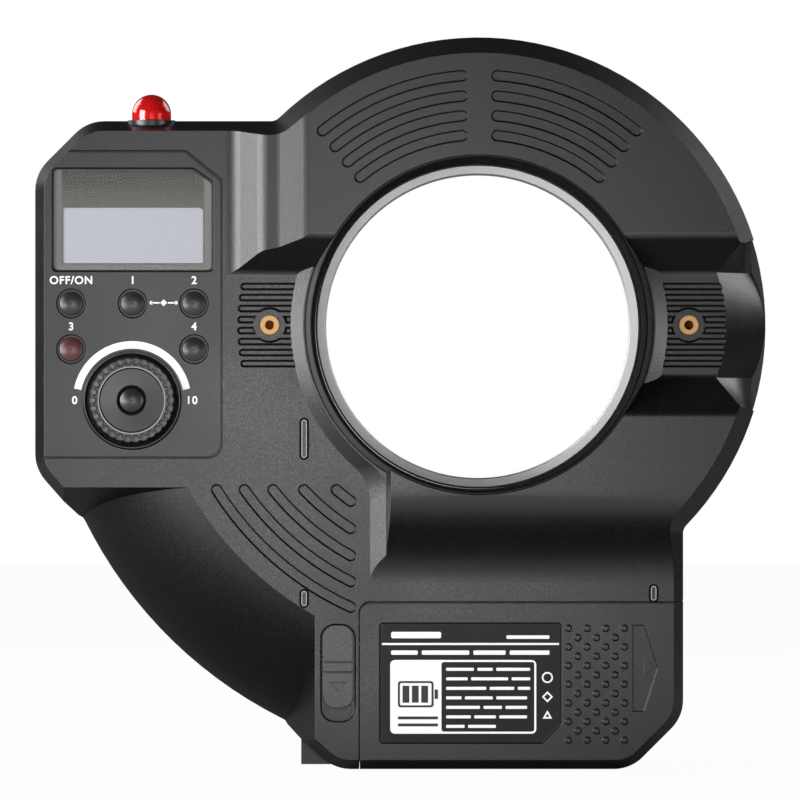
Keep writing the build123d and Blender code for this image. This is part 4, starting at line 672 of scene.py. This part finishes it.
# Battery sign on the white block: a frame with a tip and three cells, and two rules under it
SIGN = (-27.8 * MM, -15.6 * MM, -130.6 * MM, -121.6 * MM)
SIGN_CORNERS = (1.0 * MM, 0.5 * MM)
SIGN_LINE = 0.7 * MM
TIP_REACH = 1.5 * MM
TIP_SPAN = (-127.7 * MM, -124.5 * MM)
CELLS = 3
CELL_INSET = 1.6 * MM
CELL_STEP = 3.2 * MM
CELL_WIDTH = 2.3 * MM
SIGN_RULES = (-134.2 * MM, -136.6 * MM)
SIGN_RULE_HALF = 0.5 * MM


def print_sign():
    left, right, bottom, top = SIGN
    outlines = [rectangle(right + SIGN_LINE / 2, right + TIP_REACH, *TIP_SPAN)]
    for i in range(CELLS):
        cell = left + CELL_INSET + CELL_STEP * i
        outlines.append(rectangle(cell, cell + CELL_WIDTH, bottom + CELL_INSET, top - CELL_INSET))
    for z in SIGN_RULES:
        outlines.append(bar(left, right + TIP_REACH, z, SIGN_RULE_HALF))
    frames = [(rounded(*SIGN, SIGN_CORNERS[0]), rounded(*inset(SIGN, SIGN_LINE), SIGN_CORNERS[1]))]
    flat_print("label_sign", outlines, LABEL_FACE + INK, dark_ink_and_shade, "battery", frames)


# Raised ribs on the flats, as x, top and bottom
RIBS = (
    (-59.8 * MM, -32.3 * MM, -45.4 * MM),
    (-59.8 * MM, -90.8 * MM, -96.0 * MM),
    (59.6 * MM, -89.1 * MM, -94.1 * MM),
)
RIB_HALF = 0.95 * MM
RIB_GAP = 0.7 * MM
RIB_RISE = 0.4 * MM
RIB_LINE = 0.35 * MM


def line_ribs():
    """Painted shadow line round each rib, and a painted highlight along its crest."""
    shadows = []
    crests = []
    for x, top, bottom in RIBS:
        box = (x - RIB_HALF, x + RIB_HALF, bottom, top)
        rib = round_ended(box)
        shadows.append((round_ended(inset(box, -RIB_GAP)), rib))
        crests.append((rib, round_ended(inset(box, RIB_LINE))))
    flat_print("rib_shadows", [], LOW_LEVEL, rib_shade, "body", shadows)
    flat_print("rib_crests", [], LOW_LEVEL + RIB_RISE, painted_highlight, "body", crests)


# Raised arrow in the recess at the battery's end, in the latch's lighter plastic as a painted highlight
# along its lines
ARROW_FLOOR = 56.4 * MM
ARROW_RISE = 0.25 * MM
ARROW_OUTER = ((56.2 * MM, -119.7 * MM), (56.2 * MM, -113.5 * MM), (59.6 * MM, -116.7 * MM))
ARROW_INNER = ((56.65 * MM, -118.6 * MM), (56.65 * MM, -114.6 * MM), (58.85 * MM, -116.7 * MM))


def raise_arrow():
    frames = [(ARROW_OUTER, ARROW_INNER)]
    flat_print("battery_arrow", [], ARROW_FLOOR, latch, "battery", frames, ARROW_RISE)


# Threads: bore radius, rise, pitch, first and last depth, half width as a share of the pitch, steps per turn
RING_THREAD = {
    "radius": 53.2 * MM, "rise": 0.35 * MM, "pitch": 1.0 * MM, "start": 1.0 * MM, "end": 13.0 * MM,
    "half": 0.4, "steps": 96,
}
INSERT_THREAD = {
    "radius": 1.65 * MM, "rise": 0.22 * MM, "pitch": 0.6 * MM, "start": 48.0 * MM, "end": 57.0 * MM,
    "half": 0.42, "steps": 20,
}
INSERTS = (("left", (-71.6 * MM, 0)), ("right", (71.6 * MM, 0)))
INSERT_FLOOR = 47.2 * MM
# A thread rises from and falls to this share of its rise, over this part of a turn
FADE_LEAST = 0.02
FADE_TURN = 0.25


def helix(name, centre, material, slot, radius, rise, pitch, start, end, half, steps):
    """Triangular thread ridge that stands inwards from a bore, between two depths."""
    count = int((end - start) / pitch * steps)
    fade_steps = steps * FADE_TURN
    mesh = bmesh.new()
    rings = []
    for i in range(count + 1):
        angle = 2 * math.pi * i / steps
        depth = start + pitch * i / steps
        fade = max(min(1.0, i / fade_steps, (count - i) / fade_steps), FADE_LEAST)
        ring = []
        for reach, shift in ((SINK, -half * pitch), (SINK, half * pitch), (-rise * fade, 0.0)):
            x = centre[0] + (radius + reach) * math.cos(angle)
            z = centre[1] + (radius + reach) * math.sin(angle)
            ring.append(mesh.verts.new((x, -depth - shift, z)))
        rings.append(ring)
    for a, b in zip(rings, rings[1:]):
        for j in range(len(a)):
            k = (j + 1) % len(a)
            mesh.faces.new((a[j], a[k], b[k], b[j]))
    mesh.faces.new(rings[0])
    mesh.faces.new(rings[-1][::-1])
    finish_piece(mesh, name, material, "body")


def cut_threads():
    """Threads of the lens ring and of the two brass inserts, and dark red-brown floors in the inserts'
    holes, painted shade.
    """
    helix("ring_thread", (0, 0), aluminium, "bright_aluminium", **RING_THREAD)
    for side, centre in INSERTS:
        helix("insert_thread_" + side, centre, brass, "brass", **INSERT_THREAD)
    for side, centre in INSERTS:
        floor = disc(centre, INSERT_THREAD["radius"])
        flat_print("insert_floor_" + side, [floor], INSERT_FLOOR, hole_shade_brass, "body")


# Painted shadow lines above and below the latch's ridge, where its undercuts lie in shade
LATCH_SIDES = (-52.9 * MM, -43.2 * MM)
LATCH_FACE = 57.4 * MM
RIDGE_EDGES = (-115.05 * MM, -118.65 * MM)
LATCH_LINE = 0.35 * MM


def line_latch():
    lines = [rectangle(*LATCH_SIDES, z - LATCH_LINE, z + LATCH_LINE) for z in RIDGE_EDGES]
    flat_print("latch_lines", lines, LATCH_FACE, dark_ink_and_shade, "latch", height=SINK)


# Trim of the dial: grip dots, dark painted shade on the rims of the flutes, lighter painted highlights on
# their floors, and a bright painted highlight on the rim of the dish
FLUTES = 30
DOT_CIRCLE = 14.95 * MM
DOT_DEPTH = 58.4 * MM
DOT_RADIUS = 0.28 * MM
FLUTE_CIRCLE = 13.2 * MM
FLUTE_RIM = (1.0 * MM, 1.25 * MM)
FLUTE_RIM_ENDS = (95, 265)
FLUTE_RIM_STEPS = 10
FLUTE_FLOOR_RADIUS = 0.7 * MM
FLUTE_FLOOR_STEPS = 12
FLUTE_FLOOR = 60.2 * MM
DIAL_FACE = 61.2 * MM
DISH_RIM = (11.5 * MM, 11.2 * MM)
DISH_STEPS = 96


def trim_dial():
    dots = bmesh.new()
    rims = []
    floors = []
    flute_centres = disc(DIAL, FLUTE_CIRCLE, FLUTES)
    for i, (x, z) in enumerate(disc(DIAL, DOT_CIRCLE, FLUTES)):
        turn = 360 * i / FLUTES
        dot = bmesh.ops.create_icosphere(dots, subdivisions=1, radius=DOT_RADIUS)
        bmesh.ops.translate(dots, verts=dot["verts"], vec=Vector((x, -DOT_DEPTH, z)))
        ends = [turn + end for end in FLUTE_RIM_ENDS]
        rims.append(band(flute_centres[i], *FLUTE_RIM, *ends, FLUTE_RIM_STEPS))
        floors.append(disc(flute_centres[i], FLUTE_FLOOR_RADIUS, FLUTE_FLOOR_STEPS))
    finish_piece(dots, "dial_dots", dial_plastic, "dial", smooth=True)
    flat_print("flute_rims", rims, DIAL_FACE, rib_shade, "dial")
    flat_print("flute_floors", floors, FLUTE_FLOOR, flute_highlight, "dial")
    dish = [disc(DIAL, radius, DISH_STEPS) for radius in DISH_RIM]
    flat_print("dish_rim", [], DIAL_FACE, painted_highlight, "dial", [dish])


# Cross recesses in the heads of the body's screws, on the front, drawn as dark crosses of painted shade
SCREWS = (
    (-130.0 * MM, 59.6 * MM),
    (-88.0 * MM, 60.0 * MM),
    (-143.0 * MM, -46.5 * MM),
    (-51.0 * MM, -84.0 * MM),
)
HEAD_FACE = 14 * MM
CROSS_ARMS = 4
CROSS_TURN = 20
CROSS_REACH = 1.5 * MM
CROSS_HALF = 0.32 * MM
# Along and across an arm: the two corners of its end, and the corner beside the next arm
CROSS_CORNERS = ((CROSS_REACH, -CROSS_HALF), (CROSS_REACH, CROSS_HALF), (CROSS_HALF, CROSS_HALF))


def shade_screw_recesses():
    crosses = []
    for x, z in SCREWS:
        cross = []
        for arm in range(CROSS_ARMS):
            turn = math.radians(CROSS_TURN + 360 / CROSS_ARMS * arm)
            for along, across in CROSS_CORNERS:
                cross.append((
                    x + along * math.cos(turn) - across * math.sin(turn),
                    z + along * math.sin(turn) + across * math.cos(turn),
                ))
        crosses.append(cross)
    flat_print("screw_recess_shade", crosses, HEAD_FACE, dark_ink_and_shade, "body", height=SINK * 2)


print_words()
print_marks()
print_window()
print_label()
print_sign()
line_ribs()
raise_arrow()
cut_threads()
line_latch()
trim_dial()
shade_screw_recesses()


# Camera: the photograph looks along +Y at the rear face
CAMERA_PLACE = (-27.06 * MM, -2468 * MM, -25.6 * MM)
CAMERA_LENS = 317.6
CAMERA_SENSOR = 36.0
CAMERA_NEAREST = 0.05
CAMERA_FARTHEST = 20


def make_camera():
    camera = bpy.data.cameras.new("camera")
    camera.lens = CAMERA_LENS
    camera.sensor_width = CAMERA_SENSOR
    camera.clip_start = CAMERA_NEAREST
    camera.clip_end = CAMERA_FARTHEST
    viewer = bpy.data.objects.new("camera", camera)
    viewer.location = CAMERA_PLACE
    viewer.rotation_euler = UPRIGHT
    bpy.context.scene.collection.objects.link(viewer)
    bpy.context.scene.camera = viewer


# Area lamps that look at the object: azimuth and elevation in degrees, distance, width, height and power.
# Azimuth 0 is the camera's side, positive to the right.
LAMP_TARGET = Vector((-27 * MM, -40 * MM, -25 * MM))
LAMPS = {
    "left_box": (-58, 0, 1.2, 0.7, 1.0, 30),
    "low_box": (-37, -4.5, 0.9, 0.3, 0.1, 1.8),
    "right_box": (50, -5, 1.4, 0.5, 0.5, 9),
    "near_box": (-4, -1, 0.7, 0.25, 0.25, 1.05),
    "side_left": (-122, 28, 1.4, 0.9, 0.9, 11),
    "side_right": (122, 28, 1.4, 0.9, 0.9, 7),
}


def make_lamps():
    for name, (azimuth, elevation, distance, width, height, power) in LAMPS.items():
        light = bpy.data.lights.new(name, "AREA")
        light.shape = "RECTANGLE"
        light.size = width
        light.size_y = height
        light.energy = power
        turn = math.radians(azimuth)
        rise = math.radians(elevation)
        level = math.cos(rise)
        direction = Vector((math.sin(turn) * level, -math.cos(turn) * level, math.sin(rise)))
        lamp = bpy.data.objects.new(name, light)
        lamp.location = LAMP_TARGET + direction * distance
        lamp.rotation_euler = (-direction).to_track_quat("-Z", "Y").to_euler()
        bpy.context.scene.collection.objects.link(lamp)


# Background: its least level, and how straight behind the object its white part begins and is full
WORLD_LEAST = 0.02
BACKDROP_SPAN = (0.98, 0.996)


def make_world():
    """White to the camera and through glass; to gloss, a white backdrop straight behind the object."""
    world = bpy.data.worlds.new("studio")
    world.use_nodes = True
    nodes = Nodes(world.node_tree)
    rays = nodes.add("ShaderNodeLightPath", {}).outputs
    direction = nodes.add("ShaderNodeTexCoord", {}).outputs["Generated"]
    ahead = nodes.add("ShaderNodeSeparateXYZ", {"Vector": direction}).outputs["Y"]
    behind = nodes.remap(ahead, (WORLD_LEAST, 1.0), BACKDROP_SPAN, "SMOOTHSTEP")
    glossy = nodes.compute("MULTIPLY", rays["Is Glossy Ray"], behind)
    seen = nodes.compute("MAXIMUM", rays["Is Camera Ray"], rays["Is Transmission Ray"])
    level = nodes.compute("MAXIMUM", nodes.compute("MAXIMUM", seen, glossy), WORLD_LEAST)
    background = world.node_tree.nodes["Background"]
    nodes.feed(background.inputs["Color"], (1, 1, 1, 1))
    nodes.feed(background.inputs["Strength"], level)
    bpy.context.scene.world = world


# Floor: white to the camera by a glow, darker to everything else. Reflections show it white in front of
# the object, as far as the object's own shadow.
FLOOR_LEVEL = -152.5 * MM
FLOOR_REACH = 3
FLOOR_ROUGHNESS = 0.9
FLOOR_DARK = (0.12, 0.12, 0.12)
FLOOR_PALE = (0.9, 0.9, 0.9)
FLOOR_GLOW = 0.96
MIRRORED_GLOW = 0.95
MIRRORED_SPAN = (-0.12, -0.26)


def make_floor():
    """Pale floor under the object; it fades into the background and keeps the contact shadow."""
    mesh = bmesh.new()
    bmesh.ops.create_grid(mesh, x_segments=1, y_segments=1, size=FLOOR_REACH)
    data = bpy.data.meshes.new("floor")
    mesh.to_mesh(data)
    mesh.free()
    look = Shader("floor", FLOOR_DARK, FLOOR_ROUGHNESS)
    rays = look.add("ShaderNodeLightPath", {}).outputs
    look.colours(rays["Is Camera Ray"], FLOOR_DARK, FLOOR_PALE)
    front = look.remap(look.axis("Y"), (0.0, MIRRORED_GLOW), MIRRORED_SPAN, "SMOOTHSTEP")
    mirrored = look.compute("MULTIPLY", rays["Is Glossy Ray"], front)
    share = look.compute("MULTIPLY_ADD", rays["Is Camera Ray"], FLOOR_GLOW, mirrored)
    glow = look.add("ShaderNodeEmission", {})
    mix = look.add("ShaderNodeMixShader", {"Fac": share, 1: look.shader.outputs[0], 2: glow.outputs[0]})
    look.feed(look.tree.nodes["Material Output"].inputs["Surface"], mix.outputs[0])
    data.materials.append(look.material)
    floor = bpy.data.objects.new("floor", data)
    floor.location = (0, 0, FLOOR_LEVEL)
    bpy.context.scene.collection.objects.link(floor)


make_camera()
make_lamps()
make_world()
make_floor()
bpy.context.scene.view_settings.view_transform = "Standard"
